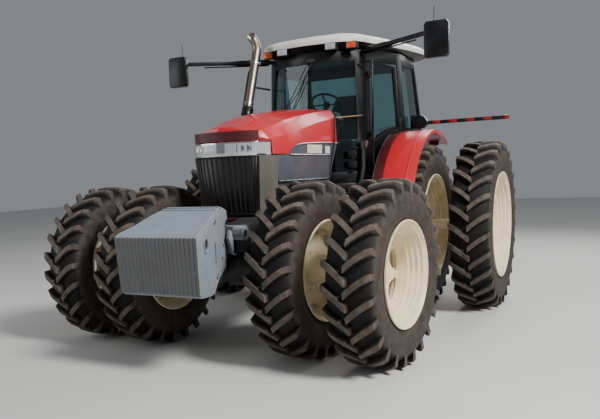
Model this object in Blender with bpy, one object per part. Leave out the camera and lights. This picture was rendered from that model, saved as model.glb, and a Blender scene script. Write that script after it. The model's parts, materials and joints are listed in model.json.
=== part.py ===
"""Row-crop farm tractor on dual wheels, with front weights, a tilting hood and a glazed cab.

Metres, +Z up. The tractor faces -Y and its left side is +X. The ground is z = 0.
"""

import math

import bmesh
import bpy
from mathutils import Matrix, Vector

# Overall layout.
WHEELBASE = 3.04
FRONT_AXLE_Y = -1.48
REAR_AXLE_Y = FRONT_AXLE_Y + WHEELBASE
FRONT_END_Y = -2.75
HITCH_END_Y = 2.75
TOUCH_GAP = 0.0003
PIN_GAP = 0.0005

# Wheels: radii, tyre widths, and distances of tyre centres from the middle of the tractor.
WHEEL_SIDES = 24
FRONT_TYRE_RADIUS = 0.80
FRONT_TYRE_WIDTH = 0.435
FRONT_SEAT_RADIUS = 0.432
FRONT_RIM_RADIUS = 0.457
FRONT_INNER_X = 0.835
FRONT_OUTER_X = 1.554
REAR_TYRE_RADIUS = 0.975
REAR_TYRE_WIDTH = 0.445
REAR_SEAT_RADIUS = 0.590
REAR_RIM_RADIUS = 0.615
REAR_INNER_X = 1.01
REAR_OUTER_X = 1.768
RIM_LIP = 0.020
TYRE_BEAD_CLEARANCE = 0.010

# Steering.
KINGPIN_X = 0.60
REST_STEER_DEG = -6.1
KINGPIN_RADIUS = 0.055
EAR_HALF_GAP = 0.16
EAR_THICKNESS = 0.04
SPINDLE_END_X = 0.72
STEERING_ARM_LENGTH = 0.20
STEERING_ROD_Z = 0.93
STEERING_ROD_RADIUS = 0.018
STEERING_ARM_TOP_Z = 0.88

# Frame, engine and driveline.
RAIL_INNER_X = 0.26
RAIL_OUTER_X = 0.30
FRAME_BOTTOM_Z = 0.98
FRAME_TOP_Z = 1.14
FRAME_FRONT_Y = -1.95
WEIGHT_REAR_Y = -1.985
ENGINE_FRONT_Y = -1.07
ENGINE_REAR_Y = 0.02
ENGINE_TOP_Z = 1.85
GEARBOX_HALF_WIDTH = 0.24
GEARBOX_TOP_Z = 1.30
REAR_HOUSING_X = 0.30
REAR_HOUSING_FRONT_Y = 1.22
REAR_HOUSING_REAR_Y = 1.92
TRUMPET_END_X = 0.68
AXLE_BAR_RADIUS = 0.055

# Hood.
HOOD_HINGE_Y = 0.12
HOOD_HINGE_Z = 2.22
HINGE_BAR_RADIUS = 0.025
HOOD_THICKNESS = 0.012
BAND_BOTTOM_Z = 1.852
BAND_TOP_Z = 1.986
BAND_THICKNESS = 0.040
HOOD_SEAM = 0.008
HOOD_LOW_Z = BAND_BOTTOM_Z + HOOD_SEAM
GRILLE_THICKNESS = 0.030
GRILLE_BOTTOM_Z = 1.29
SIDE_SEAM_Z = 1.60
PANEL_BOTTOM_Z = 1.33
PANEL_THICKNESS = 0.012

# Cab.
FLOOR_BOTTOM_Z = 1.43
FLOOR_TOP_Z = 1.53
CAB_WAIST_Z = 2.20
CAB_TOP_Z = 3.06
CAB_WALL = 0.045
GLASS_THICKNESS = 0.006
GLASS_DEPTH = 0.018
WINDOW_SILL_Z = 1.66
WINDOW_TOP_Z = 2.93
DOOR_GAP = 0.008
DOOR_RAIL = 0.045
DOOR_HINGE_X = 0.655
DOOR_HINGE_Y = 0.800
HINGE_BARREL_RADIUS = 0.011
ROOF_RIM_Z = 3.13

# Fenders: an arch about the rear axle.
FENDER_RADIUS = 1.150
FENDER_THICKNESS = 0.012
FENDER_OUTER_X = 1.215
ARCH_INNER_X = 0.735
FENDER_FRONT_DEG = 160.0
FENDER_REAR_DEG = 60.0
DOOR_OVER_FENDER = 0.018

# Hitch: a parallelogram of lift arms, lift rods and lower links.
LINK_PIVOT = Vector((0.0, 1.80, 0.76))
LINK_EYE_Z = 0.60
LINK_EYE_RADIUS = 0.05
LINK_INNER_X = REAR_HOUSING_X + PIN_GAP
LINK_THICKNESS = 0.040
LINK_END_X = 0.41
LIFT_POINT = 0.52
ROCKSHAFT = Vector((0.0, 1.98, 1.25))
ROCKSHAFT_RADIUS = 0.055
ARM_INNER_X = 0.362
ARM_OUTER_X = 0.4015
TOP_LINK_PIVOT = Vector((0.0, 2.06, 1.00))
TOP_LINK_LENGTH = 0.56

RED = (0.55, 0.018, 0.022)
CREAM = (0.72, 0.66, 0.52)
WHITE = (0.80, 0.79, 0.76)
TYRE_BLACK = (0.022, 0.020, 0.019)
DARK_GREY = (0.045, 0.050, 0.058)
CASTING_GREY = (0.11, 0.11, 0.115)
WEIGHT_GREY = (0.30, 0.33, 0.37)
BLACK = (0.012, 0.013, 0.015)
STEEL = (0.42, 0.41, 0.40)
SEAT_GREY = (0.05, 0.055, 0.065)
TINT = (0.25, 0.42, 0.45)


def material(name, colour, roughness, metallic=0.0):
    """One Principled finish, made once and shared by name."""
    found = bpy.data.materials.get(name)
    if found:
        return found
    finish = bpy.data.materials.new(name)
    finish.use_nodes = True
    shader = finish.node_tree.nodes["Principled BSDF"]
    shader.inputs["Base Color"].default_value = (*colour, 1.0)
    shader.inputs["Roughness"].default_value = roughness
    shader.inputs["Metallic"].default_value = metallic
    return finish


def paint(piece, name, colour, roughness, metallic=0.0):
    piece.data.materials.clear()
    piece.data.materials.append(material(name, colour, roughness, metallic))
    return piece


def as_object(name, shape):
    """Turn a bmesh into an object in the scene, with every face pointing outwards."""
    bmesh.ops.recalc_face_normals(shape, faces=shape.faces)
    mesh = bpy.data.meshes.new(name)
    shape.to_mesh(mesh)
    shape.free()
    piece = bpy.data.objects.new(name, mesh)
    bpy.context.scene.collection.objects.link(piece)
    return piece


def rounded(piece, angle=35.0):
    """Smooth shading between faces that meet at less than the angle."""
    piece.data.shade_smooth()
    piece.data.set_sharp_from_angle(angle=math.radians(angle))
    return piece


def loft(name, rings, closed_ends=True):
    """Join equal rings of points by quads, and close the two ends."""
    shape = bmesh.new()
    loops = [[shape.verts.new(point) for point in ring] for ring in rings]
    count = len(loops[0])
    for here, there in zip(loops, loops[1:]):
        for i in range(count):
            j = (i + 1) % count
            shape.faces.new((here[i], here[j], there[j], there[i]))
    if closed_ends:
        shape.faces.new(loops[0])
        shape.faces.new(loops[-1])
    return as_object(name, shape)


def prism(name, outline, axis, low, high):
    """Extrude an outline along X, Y or Z; its points are the other two coordinates in order."""
    def place(point, depth):
        a, b = point
        return {"X": (depth, a, b), "Y": (a, depth, b), "Z": (a, b, depth)}[axis]

    return loft(name, [[place(p, low) for p in outline], [place(p, high) for p in outline]])


def box(name, low, high):
    outline = [(low[0], low[1]), (high[0], low[1]), (high[0], high[1]), (low[0], high[1])]
    return prism(name, outline, "Z", low[2], high[2])


def turned(name, profile, centre=(0.0, 0.0, 0.0), axis="X", sides=16, flat_down=False):
    """Revolve (distance along the axis, radius) points; a radius of 0 closes on the axis."""
    shape = bmesh.new()
    turn_start = math.pi / sides if flat_down else 0.0
    stretch = 1.0 / math.cos(math.pi / sides) if flat_down else 1.0
    rings = []
    for along, radius in profile:
        ring = []
        for i in range(1 if radius == 0.0 else sides):
            angle = turn_start + 2.0 * math.pi * i / sides - 0.5 * math.pi
            a = radius * stretch * math.cos(angle)
            b = radius * stretch * math.sin(angle)
            spot = {"X": (along, a, b), "Y": (a, along, b), "Z": (a, b, along)}[axis]
            ring.append(shape.verts.new(Vector(centre) + Vector(spot)))
        rings.append(ring)
    loop_back = profile[0][1] != 0.0
    pairs = list(zip(rings, rings[1:])) + ([(rings[-1], rings[0])] if loop_back else [])
    for here, there in pairs:
        for i in range(sides):
            j = (i + 1) % sides
            if len(here) == 1:
                shape.faces.new((here[0], there[j], there[i]))
            elif len(there) == 1:
                shape.faces.new((here[i], here[j], there[0]))
            else:
                shape.faces.new((here[i], here[j], there[j], there[i]))
    return as_object(name, shape)


def cylinder(name, start, end, radius, axis="X", sides=16):
    """A plain cylinder from start, as long as the axis coordinate of end says."""
    span = {"X": end[0] - start[0], "Y": end[1] - start[1], "Z": end[2] - start[2]}[axis]
    profile = [(0.0, 0.0), (0.0, radius), (span, radius), (span, 0.0)]
    return turned(name, profile, start, axis, sides)


def pipe(name, path, radii, sides=12):
    """A round bar along a path, with mitred bends and closed ends."""
    points = [Vector(p) for p in path]
    if not isinstance(radii, (list, tuple)):
        radii = [radii] * len(points)
    rings = []
    side = None
    for i, point in enumerate(points):
        before = (point - points[i - 1]).normalized() if i else (points[1] - point).normalized()
        after = (points[i + 1] - point).normalized() if i + 1 < len(points) else before
        along = (before + after).normalized()
        if side is None:
            side = along.orthogonal().normalized()
        side = (side - along * side.dot(along)).normalized()
        other = along.cross(side)
        stretch = 1.0 / max(0.5, along.dot(before))
        ring = []
        for k in range(sides):
            angle = 2.0 * math.pi * k / sides
            ring.append(point + (side * math.cos(angle) + other * math.sin(angle)) * radii[i] * stretch)
        rings.append(ring)
    return loft(name, rings)


def bar(name, start, end, width, height):
    """A rectangular bar between two points; its height is measured close to Z."""
    start = Vector(start)
    end = Vector(end)
    along = (end - start).normalized()
    across = along.cross(Vector((0, 0, 1))).normalized() * width * 0.5
    up = across.cross(along).normalized() * height * 0.5
    corners = (across + up, -across + up, -across - up, across - up)
    return loft(name, [[start + c for c in corners], [end + c for c in corners]])


def helper(piece):
    """Keep a cutter or an added shape out of the model; only the Boolean reads it."""
    piece.hide_render = True
    piece.display_type = "WIRE"
    return piece


def boolean(piece, other, operation):
    step = piece.modifiers.new(operation.title(), "BOOLEAN")
    step.operation = operation
    step.object = helper(other)
    other.parent = piece
    return piece


def fuse(piece, *others):
    for other in others:
        boolean(piece, other, "UNION")
    return piece


def cut(piece, *others):
    for other in others:
        boolean(piece, other, "DIFFERENCE")
    return piece


def keep_inside(piece, other):
    return boolean(piece, other, "INTERSECT")


def pivot(name, place, turn_deg=0.0):
    """An empty on a joint's axis; what hangs on it is modelled before the turn."""
    empty = bpy.data.objects.new(name, None)
    empty.empty_display_size = 0.1
    empty.location = place
    empty.rotation_euler = (0.0, 0.0, math.radians(turn_deg))
    bpy.context.scene.collection.objects.link(empty)
    return empty


def hang(piece, empty):
    piece.parent = empty
    piece.matrix_parent_inverse = Matrix.Translation(-Vector(empty.location))
    return piece


def mirrored(points):
    """The same points on the other side, in reverse order, without those in the middle."""
    return [(-p[0], *p[1:]) for p in reversed(points) if abs(p[0]) > 1e-9]


# --- Wheels -----------------------------------------------------------------


def tyre_profile(centre_x, width, seat, radius):
    """Half a tyre's section is bead, bulge, shoulder and tread; the other half mirrors it."""
    half = 0.5 * width
    bead = 0.5 * width - 0.0425
    height = radius - seat
    side = [
        (bead, seat + TOUCH_GAP),
        (half, seat + 0.55 * height),
        (half - 0.028, seat + 0.90 * height),
        (half - 0.070, radius),
    ]
    right = [(centre_x + s, r) for s, r in side]
    left = [(centre_x - s, r) for s, r in reversed(side)]
    return right + left


def rim_section(centre_x, width, seat, rim_radius, disc_x, disc_thickness, hub_radius, next_radius):
    """One rim's outline from its hub on the inner face, round the barrel, to the next tube."""
    bead = 0.5 * width - 0.0425 + TYRE_BEAD_CLEARANCE
    barrel = seat - 0.030
    return [
        (disc_x, hub_radius),
        (disc_x, barrel),
        (centre_x - bead - RIM_LIP, rim_radius - 0.014),
        (centre_x - bead - RIM_LIP, rim_radius),
        (centre_x - bead, rim_radius),
        (centre_x - bead, seat),
        (centre_x + bead, seat),
        (centre_x + bead, rim_radius),
        (centre_x + bead + RIM_LIP, rim_radius),
        (centre_x + bead + RIM_LIP, rim_radius - 0.014),
        (disc_x + disc_thickness, barrel),
        (disc_x + disc_thickness, next_radius),
    ]


def front_wheels(side, sign, knuckle):
    """A pair of front tyres on rims that one spacer drum joins."""
    axle = (0.0, FRONT_AXLE_Y, FRONT_TYRE_RADIUS)
    hub = SPINDLE_END_X + PIN_GAP
    profile = [(hub, 0.0), (hub, 0.150)]
    profile += rim_section(FRONT_INNER_X, FRONT_TYRE_WIDTH, FRONT_SEAT_RADIUS, FRONT_RIM_RADIUS,
                           FRONT_INNER_X + 0.030, 0.022, 0.150, 0.165)
    profile += rim_section(FRONT_OUTER_X, FRONT_TYRE_WIDTH, FRONT_SEAT_RADIUS, FRONT_RIM_RADIUS,
                           FRONT_OUTER_X - 0.100, 0.022, 0.165, 0.130)
    profile += [(FRONT_OUTER_X + 0.02, 0.115), (FRONT_OUTER_X + 0.02, 0.0)]
    rims = turned(f"front_rims_{side}", [(s * sign, r) for s, r in profile], axle,
                  sides=WHEEL_SIDES, flat_down=True)
    pieces = [paint(rounded(rims), "cream_enamel", CREAM, 0.45)]
    for place, centre_x in (("inner", FRONT_INNER_X), ("outer", FRONT_OUTER_X)):
        outline = tyre_profile(centre_x, FRONT_TYRE_WIDTH, FRONT_SEAT_RADIUS, FRONT_TYRE_RADIUS)
        tyre = turned(f"front_tyre_{side}_{place}", [(s * sign, r) for s, r in outline], axle,
                      sides=WHEEL_SIDES, flat_down=True)
        pieces.append(paint(rounded(tyre), "tyre_rubber", TYRE_BLACK, 0.85))
    for piece in pieces:
        hang(piece, knuckle)


def rear_wheels(side, sign):
    """A pair of rear tyres on rims that both clamp to the turning axle bar."""
    axle = (0.0, REAR_AXLE_Y, REAR_TYRE_RADIUS)
    hub = TRUMPET_END_X + PIN_GAP
    bar_end = REAR_OUTER_X + 0.06
    profile = [(hub, 0.0), (hub, 0.105), (hub + 0.10, 0.105)]
    profile += rim_section(REAR_INNER_X, REAR_TYRE_WIDTH, REAR_SEAT_RADIUS, REAR_RIM_RADIUS,
                           REAR_INNER_X - 0.040, 0.026, 0.150, 0.150)
    profile += [(REAR_INNER_X + 0.10, 0.130), (REAR_INNER_X + 0.10, AXLE_BAR_RADIUS)]
    profile += [(REAR_OUTER_X - 0.20, AXLE_BAR_RADIUS), (REAR_OUTER_X - 0.20, 0.150)]
    profile += rim_section(REAR_OUTER_X, REAR_TYRE_WIDTH, REAR_SEAT_RADIUS, REAR_RIM_RADIUS,
                           REAR_OUTER_X - 0.110, 0.026, 0.150, 0.140)
    profile += [(bar_end - 0.05, 0.120), (bar_end - 0.05, AXLE_BAR_RADIUS)]
    profile += [(bar_end, AXLE_BAR_RADIUS), (bar_end, 0.0)]
    rims = turned(f"rear_rims_{side}", [(s * sign, r) for s, r in profile], axle,
                  sides=WHEEL_SIDES, flat_down=True)
    pieces = [paint(rounded(rims), "cream_enamel", CREAM, 0.45)]
    for place, centre_x in (("inner", REAR_INNER_X), ("outer", REAR_OUTER_X)):
        outline = tyre_profile(centre_x, REAR_TYRE_WIDTH, REAR_SEAT_RADIUS, REAR_TYRE_RADIUS)
        tyre = turned(f"rear_tyre_{side}_{place}", [(s * sign, r) for s, r in outline], axle,
                      sides=WHEEL_SIDES, flat_down=True)
        pieces.append(paint(rounded(tyre), "tyre_rubber", TYRE_BLACK, 0.85))
    centre = pivot(f"rear_wheel_{side}_axis", (sign * REAR_INNER_X, REAR_AXLE_Y, REAR_TYRE_RADIUS))
    for piece in pieces:
        hang(piece, centre)


# --- Front axle and steering ------------------------------------------------


def steering_cylinder():
    """A double-ended cylinder across the axle, whose rod pushes both steering arms."""
    y = FRONT_AXLE_Y + STEERING_ARM_LENGTH
    bore = STEERING_ROD_RADIUS + PIN_GAP
    ring = [(-0.22, bore), (-0.22, 0.034), (0.22, 0.034), (0.22, bore)]
    barrel = turned("steering_cylinder", ring, (0.0, y, STEERING_ROD_Z), sides=12)
    foot = box("cylinder_foot", (-0.050, y - 0.02, FRONT_TYRE_RADIUS),
               (0.050, y + 0.02, STEERING_ROD_Z - 0.024))
    return [barrel, foot]


def front_axle():
    """A rigid beam that carries the kingpins; it hangs in the frame on its trunnion."""
    y = FRONT_AXLE_Y
    z = FRONT_TYRE_RADIUS
    half = KINGPIN_X - KINGPIN_RADIUS - 0.025
    profile = [(-half, 0.0), (-half, 0.080), (-0.20, 0.095), (-0.13, 0.150), (0.13, 0.150),
               (0.20, 0.095), (half, 0.080), (half, 0.0)]
    beam = turned("front_axle_beam", profile, (0.0, y, z), sides=14)
    ears = []
    ear_end = KINGPIN_X + KINGPIN_RADIUS
    for sign in (-1, 1):
        inner = half - 0.06
        outline = [
            (sign * inner, z - EAR_HALF_GAP - EAR_THICKNESS),
            (sign * ear_end, z - EAR_HALF_GAP - EAR_THICKNESS),
            (sign * ear_end, z - EAR_HALF_GAP),
            (sign * half, z - EAR_HALF_GAP),
            (sign * half, z + EAR_HALF_GAP),
            (sign * ear_end, z + EAR_HALF_GAP),
            (sign * ear_end, z + EAR_HALF_GAP + EAR_THICKNESS),
            (sign * inner, z + EAR_HALF_GAP + EAR_THICKNESS),
        ]
        ears.append(prism(f"yoke_{sign}", outline, "Y", y - 0.055, y + 0.055))
    trunnion = cylinder("trunnion", (0.0, y - 0.2695, z), (0.0, y + 0.2695, z), 0.070, "Y", 12)
    nose = box("pinion_housing", (-0.08, y + 0.10, z - 0.20), (0.08, y + 0.22, z - 0.02))
    fuse(beam, *ears, trunnion, nose, *steering_cylinder())
    paint(rounded(beam), "cast_iron_grey", CASTING_GREY, 0.6)


def steering_knuckle(side, sign):
    """The upright that turns on the kingpin, with its spindle drum and steering arm."""
    z = FRONT_TYRE_RADIUS
    reach = EAR_HALF_GAP - PIN_GAP
    foot = (sign * KINGPIN_X, FRONT_AXLE_Y, z - reach)
    head = (sign * KINGPIN_X, FRONT_AXLE_Y, z + reach)
    upright = cylinder(f"knuckle_{side}", foot, head, KINGPIN_RADIUS, "Z", 14)
    drum = cylinder(f"spindle_{side}", (sign * KINGPIN_X, FRONT_AXLE_Y, z),
                    (sign * SPINDLE_END_X, FRONT_AXLE_Y, z), 0.130, "X", 16)
    tip_y = FRONT_AXLE_Y + STEERING_ARM_LENGTH + 0.035
    arm = box(f"steering_arm_{side}",
              (sign * KINGPIN_X - 0.030, FRONT_AXLE_Y, STEERING_ARM_TOP_Z - 0.040),
              (sign * KINGPIN_X + 0.030, tip_y, STEERING_ARM_TOP_Z))
    fuse(upright, drum, arm)
    paint(rounded(upright), "cast_iron_grey", CASTING_GREY, 0.6)
    kingpin = pivot(f"kingpin_{side}", (sign * KINGPIN_X, FRONT_AXLE_Y, z), REST_STEER_DEG)
    hang(upright, kingpin)
    return kingpin


def steering_rod():
    """The cylinder's rod, shifted by the steering at rest, with an eye over each arm."""
    turn = math.radians(REST_STEER_DEG)
    shift = -STEERING_ARM_LENGTH * math.sin(turn)
    y = FRONT_AXLE_Y + STEERING_ARM_LENGTH
    half = KINGPIN_X - 0.010
    rod = cylinder("steering_rod", (shift - half, y, STEERING_ROD_Z), (shift + half, y, STEERING_ROD_Z),
                   STEERING_ROD_RADIUS, "X", 12)
    eyes = []
    for sign in (-1, 1):
        eye_x = shift + sign * KINGPIN_X
        eyes.append(box(f"rod_eye_{sign}", (eye_x - 0.028, y - 0.028, STEERING_ARM_TOP_Z + PIN_GAP),
                        (eye_x + 0.028, y + 0.028, STEERING_ROD_Z + 0.026)))
    fuse(rod, *eyes)
    paint(rounded(rod), "bright_steel", STEEL, 0.25, 1.0)
    hang(rod, pivot("steering_rod_axis", (shift, y, STEERING_ROD_Z)))


# --- Frame, engine and driveline --------------------------------------------


def front_frame():
    """Cross casting with two rails along the engine and two hangers for the axle."""
    frame = box("front_frame", (-RAIL_OUTER_X, FRAME_FRONT_Y, FRAME_BOTTOM_Z),
                (RAIL_OUTER_X, ENGINE_FRONT_Y - TOUCH_GAP, FRAME_TOP_Z))
    rails = [box(f"rail_{sign}",
                 (min(sign * RAIL_INNER_X, sign * RAIL_OUTER_X), ENGINE_FRONT_Y - 0.10, FRAME_BOTTOM_Z),
                 (max(sign * RAIL_INNER_X, sign * RAIL_OUTER_X), -0.05, FRAME_TOP_Z))
             for sign in (-1, 1)]
    hangers = []
    for name, near, far in (("front", -0.35, -0.27), ("rear", 0.27, 0.35)):
        outline = [(-0.13, FRAME_BOTTOM_Z + 0.02), (-0.10, 0.69), (0.10, 0.69),
                   (0.13, FRAME_BOTTOM_Z + 0.02)]
        hangers.append(prism(f"hanger_{name}", outline, "Y", FRONT_AXLE_Y + near, FRONT_AXLE_Y + far))
    carrier = box("weight_carrier", (-0.23, WEIGHT_REAR_Y + TOUCH_GAP, 0.93),
                  (0.23, FRAME_FRONT_Y + 0.02, 1.245))
    arms = [box(f"carrier_arm_{sign}",
                (min(sign * 0.20, sign * RAIL_OUTER_X), FRAME_FRONT_Y - 0.02, FRAME_TOP_Z - 0.01),
                (max(sign * 0.20, sign * RAIL_OUTER_X), -1.52, 1.225)) for sign in (-1, 1)]
    crossbar = box("front_crossbar", (-0.315, FRONT_AXLE_Y, FRAME_TOP_Z - 0.01),
                   (0.315, FRONT_AXLE_Y + 0.05, 1.275))
    fuse(frame, *rails, *hangers, carrier, *arms, crossbar)
    paint(frame, "cast_iron_grey", CASTING_GREY, 0.6)


def engine():
    """The engine as one plain block between the rails."""
    block = box("engine_block", (-RAIL_INNER_X + TOUCH_GAP, ENGINE_FRONT_Y, 0.90),
                 (RAIL_INNER_X - TOUCH_GAP, ENGINE_REAR_Y, ENGINE_TOP_Z))
    paint(block, "engine_paint", CASTING_GREY, 0.55)


def hood_support():
    """Arch on the gearbox whose round cross bar is the hood's hinge."""
    half = 0.22
    bar_round = cylinder("hood_support", (-half, HOOD_HINGE_Y, HOOD_HINGE_Z),
                         (half, HOOD_HINGE_Y, HOOD_HINGE_Z), HINGE_BAR_RADIUS, "X", 16)
    posts = [box(f"support_post_{sign}",
                 (sign * (half - 0.01) - 0.02, HOOD_HINGE_Y - 0.024, GEARBOX_TOP_Z - 0.01),
                 (sign * (half - 0.01) + 0.02, HOOD_HINGE_Y + 0.024, HOOD_HINGE_Z + 0.005))
             for sign in (-1, 1)]
    return [bar_round, *posts]


def drawbar():
    """Fixed drawbar with a pin hole near its end."""
    plate = prism("drawbar", [(-0.045, 1.30), (0.045, 1.30), (0.045, 2.52), (0.025, 2.56),
                              (-0.025, 2.56), (-0.045, 2.52)], "Z", 0.345, 0.385)
    return cut(plate, cylinder("drawbar_pin_hole", (0.0, 2.50, 0.32), (0.0, 2.50, 0.41), 0.016, "Z", 12))


def transmission():
    """Gearbox and rear axle housing in one casting, with both axle trumpets."""
    gearbox = box("transmission_housing", (-GEARBOX_HALF_WIDTH, ENGINE_REAR_Y + TOUCH_GAP, 0.62),
                  (GEARBOX_HALF_WIDTH, REAR_HOUSING_FRONT_Y + 0.1, GEARBOX_TOP_Z))
    housing = box("rear_housing", (-REAR_HOUSING_X, REAR_HOUSING_FRONT_Y, 0.68),
                  (REAR_HOUSING_X, REAR_HOUSING_REAR_Y, FLOOR_BOTTOM_Z - TOUCH_GAP))
    profile = [(-TRUMPET_END_X, 0.0), (-TRUMPET_END_X, 0.110), (-REAR_HOUSING_X, 0.190),
               (REAR_HOUSING_X, 0.190), (TRUMPET_END_X, 0.110), (TRUMPET_END_X, 0.0)]
    trumpets = turned("trumpets", profile, (0.0, REAR_AXLE_Y, REAR_TYRE_RADIUS), sides=16)
    shaft_stub = cylinder("pto_stub", (0.0, REAR_HOUSING_REAR_Y - 0.02, 0.76),
                          (0.0, REAR_HOUSING_REAR_Y + 0.11, 0.76), 0.022, "Y", 12)
    bearings = box("rockshaft_bearings", (-0.26, REAR_HOUSING_REAR_Y - 0.02, ROCKSHAFT.z - 0.05),
                   (0.26, ROCKSHAFT.y - ROCKSHAFT_RADIUS - PIN_GAP, ROCKSHAFT.z + 0.05))
    ears = [box(f"top_link_ear_{sign}",
                (min(sign * 0.0225, sign * 0.050), REAR_HOUSING_REAR_Y - 0.02, TOP_LINK_PIVOT.z - 0.04),
                (max(sign * 0.0225, sign * 0.050), TOP_LINK_PIVOT.y + 0.04, TOP_LINK_PIVOT.z + 0.04))
            for sign in (-1, 1)]
    keel = box("drawbar_hanger", (-0.10, 1.45, 0.375), (0.10, 1.85, 0.70))
    shaft_front = FRONT_AXLE_Y + 0.22 + PIN_GAP
    drive_shaft = cylinder("front_drive_shaft", (0.0, shaft_front, 0.655), (0.0, 0.10, 0.655), 0.030, "Y", 12)
    fuse(gearbox, housing, trumpets, shaft_stub, bearings, *ears, keel, drive_shaft, drawbar(),
         *hood_support())
    paint(gearbox, "cast_iron_grey", CASTING_GREY, 0.6)


# --- Front weights ----------------------------------------------------------


def weights():
    """Stack of cast weights: one block here, narrower at the back where it hooks on."""
    outline = [(-2.750, 1.195), (-2.700, 0.715), (-2.655, 0.695), (-2.420, 0.675), (-2.330, 0.680),
               (-2.185, 0.787), (WEIGHT_REAR_Y, 0.870), (WEIGHT_REAR_Y, 1.250), (-1.900, 1.295),
               (-1.925, 1.370),
               (-2.125, 1.417), (-2.300, 1.362), (-2.530, 1.275)]
    front_half = 0.412
    taper = 0.227

    def half_width(y):
        return front_half - taper * (y - FRONT_END_Y)

    rings = [[(sign * half_width(y), y, z) for y, z in outline] for sign in (-1, 1)]
    paint(loft("front_weights", rings), "weight_paint", WEIGHT_GREY, 0.55)


# --- Hood -------------------------------------------------------------------


def hood_stations():
    """Half sections from the rear edge to the nose: (y, bottom, side top, crest, quarter, centre)."""
    return [
        (0.190, (0.470, 1.986), (0.455, 2.260), (0.400, 2.347), (0.200, 2.365), 2.370),
        (-0.250, (0.465, 1.986), (0.450, 2.200), (0.390, 2.300), (0.200, 2.335), 2.345),
        (-0.707, (0.460, 1.971), (0.440, 2.110), (0.370, 2.235), (0.190, 2.288), 2.300),
        (-0.860, (0.457, 1.957), (0.435, 2.080), (0.365, 2.208), (0.185, 2.266), 2.280),
        (-0.970, (0.455, 1.922), (0.430, 2.060), (0.360, 2.187), (0.180, 2.247), 2.260),
        (-1.040, (0.450, HOOD_LOW_Z), (0.425, 2.045), (0.355, 2.170), (0.180, 2.232), 2.245),
        (-1.240, (0.435, HOOD_LOW_Z), (0.405, 2.020), (0.335, 2.125), (0.170, 2.187), 2.200),
        (-1.345, (0.420, HOOD_LOW_Z), (0.385, 2.000), (0.320, 2.092), (0.160, 2.152), 2.165),
    ]


def nose_outline():
    """Half of the nose in plan at the headlight band, from the middle to the side."""
    return [(0.0, -1.600), (0.160, -1.585), (0.290, -1.540), (0.345, -1.485), (0.385, -1.420),
            (0.413, -1.3625)]


def hood_shell():
    """Pressed skin: a ruled grid of points, thickened inwards."""
    rows = []
    for y, *sides, centre in hood_stations():
        rows.append([(x, y, z) for x, z in sides] + [(0.0, y, centre)])
    rim = BAND_TOP_Z + HOOD_SEAM
    rows.append([(0.4195, -1.353, rim), (0.383, -1.353, 2.002), (0.318, -1.353, 2.088),
                 (0.158, -1.353, 2.148), (0.0, -1.353, 2.161)])
    rows.append([(0.385, -1.420, rim), (0.352, -1.438, 2.022), (0.298, -1.460, 2.067),
                 (0.150, -1.520, 2.108), (0.0, -1.540, 2.118)])
    rows.append([(0.372, -1.440, rim), (0.345, -1.485, rim), (0.290, -1.540, rim),
                 (0.160, -1.585, rim), (0.0, -1.600, rim)])
    shape = bmesh.new()
    grid = [[shape.verts.new(p) for p in row + mirrored(row)] for row in rows]
    for here, there in zip(grid, grid[1:]):
        for i in range(len(here) - 1):
            shape.faces.new((here[i], here[i + 1], there[i + 1], there[i]))
    hood = as_object("hood", shape)
    if hood.data.polygons[3].normal.z < 0:
        hood.data.flip_normals()
    skin = hood.modifiers.new("Solidify", "SOLIDIFY")
    skin.thickness = HOOD_THICKNESS
    skin.offset = -1.0
    lugs = [box(f"hood_lug_{sign}", (sign * 0.17 - 0.02, HOOD_HINGE_Y - 0.015,
                                     HOOD_HINGE_Z + HINGE_BAR_RADIUS + PIN_GAP),
                (sign * 0.17 + 0.02, HOOD_HINGE_Y + 0.015, 2.362)) for sign in (-1, 1)]
    rib = box("nose_rib", (-0.02, nose_outline()[0][1] + BAND_THICKNESS + TOUCH_GAP, BAND_BOTTOM_Z),
              (0.02, -1.500, 2.108))
    fuse(hood, *lugs, rib)
    return paint(rounded(hood, 25.0), "red_enamel", RED, 0.3)


def strip(outline, inset):
    """A plan outline and the same outline moved inwards: back at the nose, across at its ends."""
    widest = outline[-1][0]
    whole = [(-x, y) for x, y in reversed(outline) if x > 0] + list(outline)
    inner = []
    for x, y in whole:
        share = x / widest
        inner.append((x - inset * share, y + inset * (1.0 - abs(share))))
    return whole, inner


def front_of_hood():
    """Headlight band and grille, both wrapped round the nose."""
    outer, inner = strip(nose_outline(), BAND_THICKNESS)
    band = prism("headlight_band", outer + list(reversed(inner)), "Z", BAND_BOTTOM_Z + TOUCH_GAP,
                 BAND_TOP_Z - 0.003)
    paint(band, "clear_lens", (0.7, 0.72, 0.75), 0.15, 0.6)
    top = nose_outline() + [(0.434, -1.2405)]
    bottom = [(0.0, -1.500), (0.145, -1.490), (0.262, -1.462), (0.305, -1.425), (0.338, -1.375),
              (0.365, -1.310), (0.385, -1.2405)]
    rings = []
    for outline, z in ((bottom, GRILLE_BOTTOM_Z), (top, BAND_BOTTOM_Z - TOUCH_GAP)):
        outer, inner = strip(outline, GRILLE_THICKNESS)
        rings.append([(x, y, z) for x, y in outer + list(reversed(inner))])
    grille = loft("grille", rings)
    paint(grille, "black_grille", BLACK, 0.5)
    return [band, grille]


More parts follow.
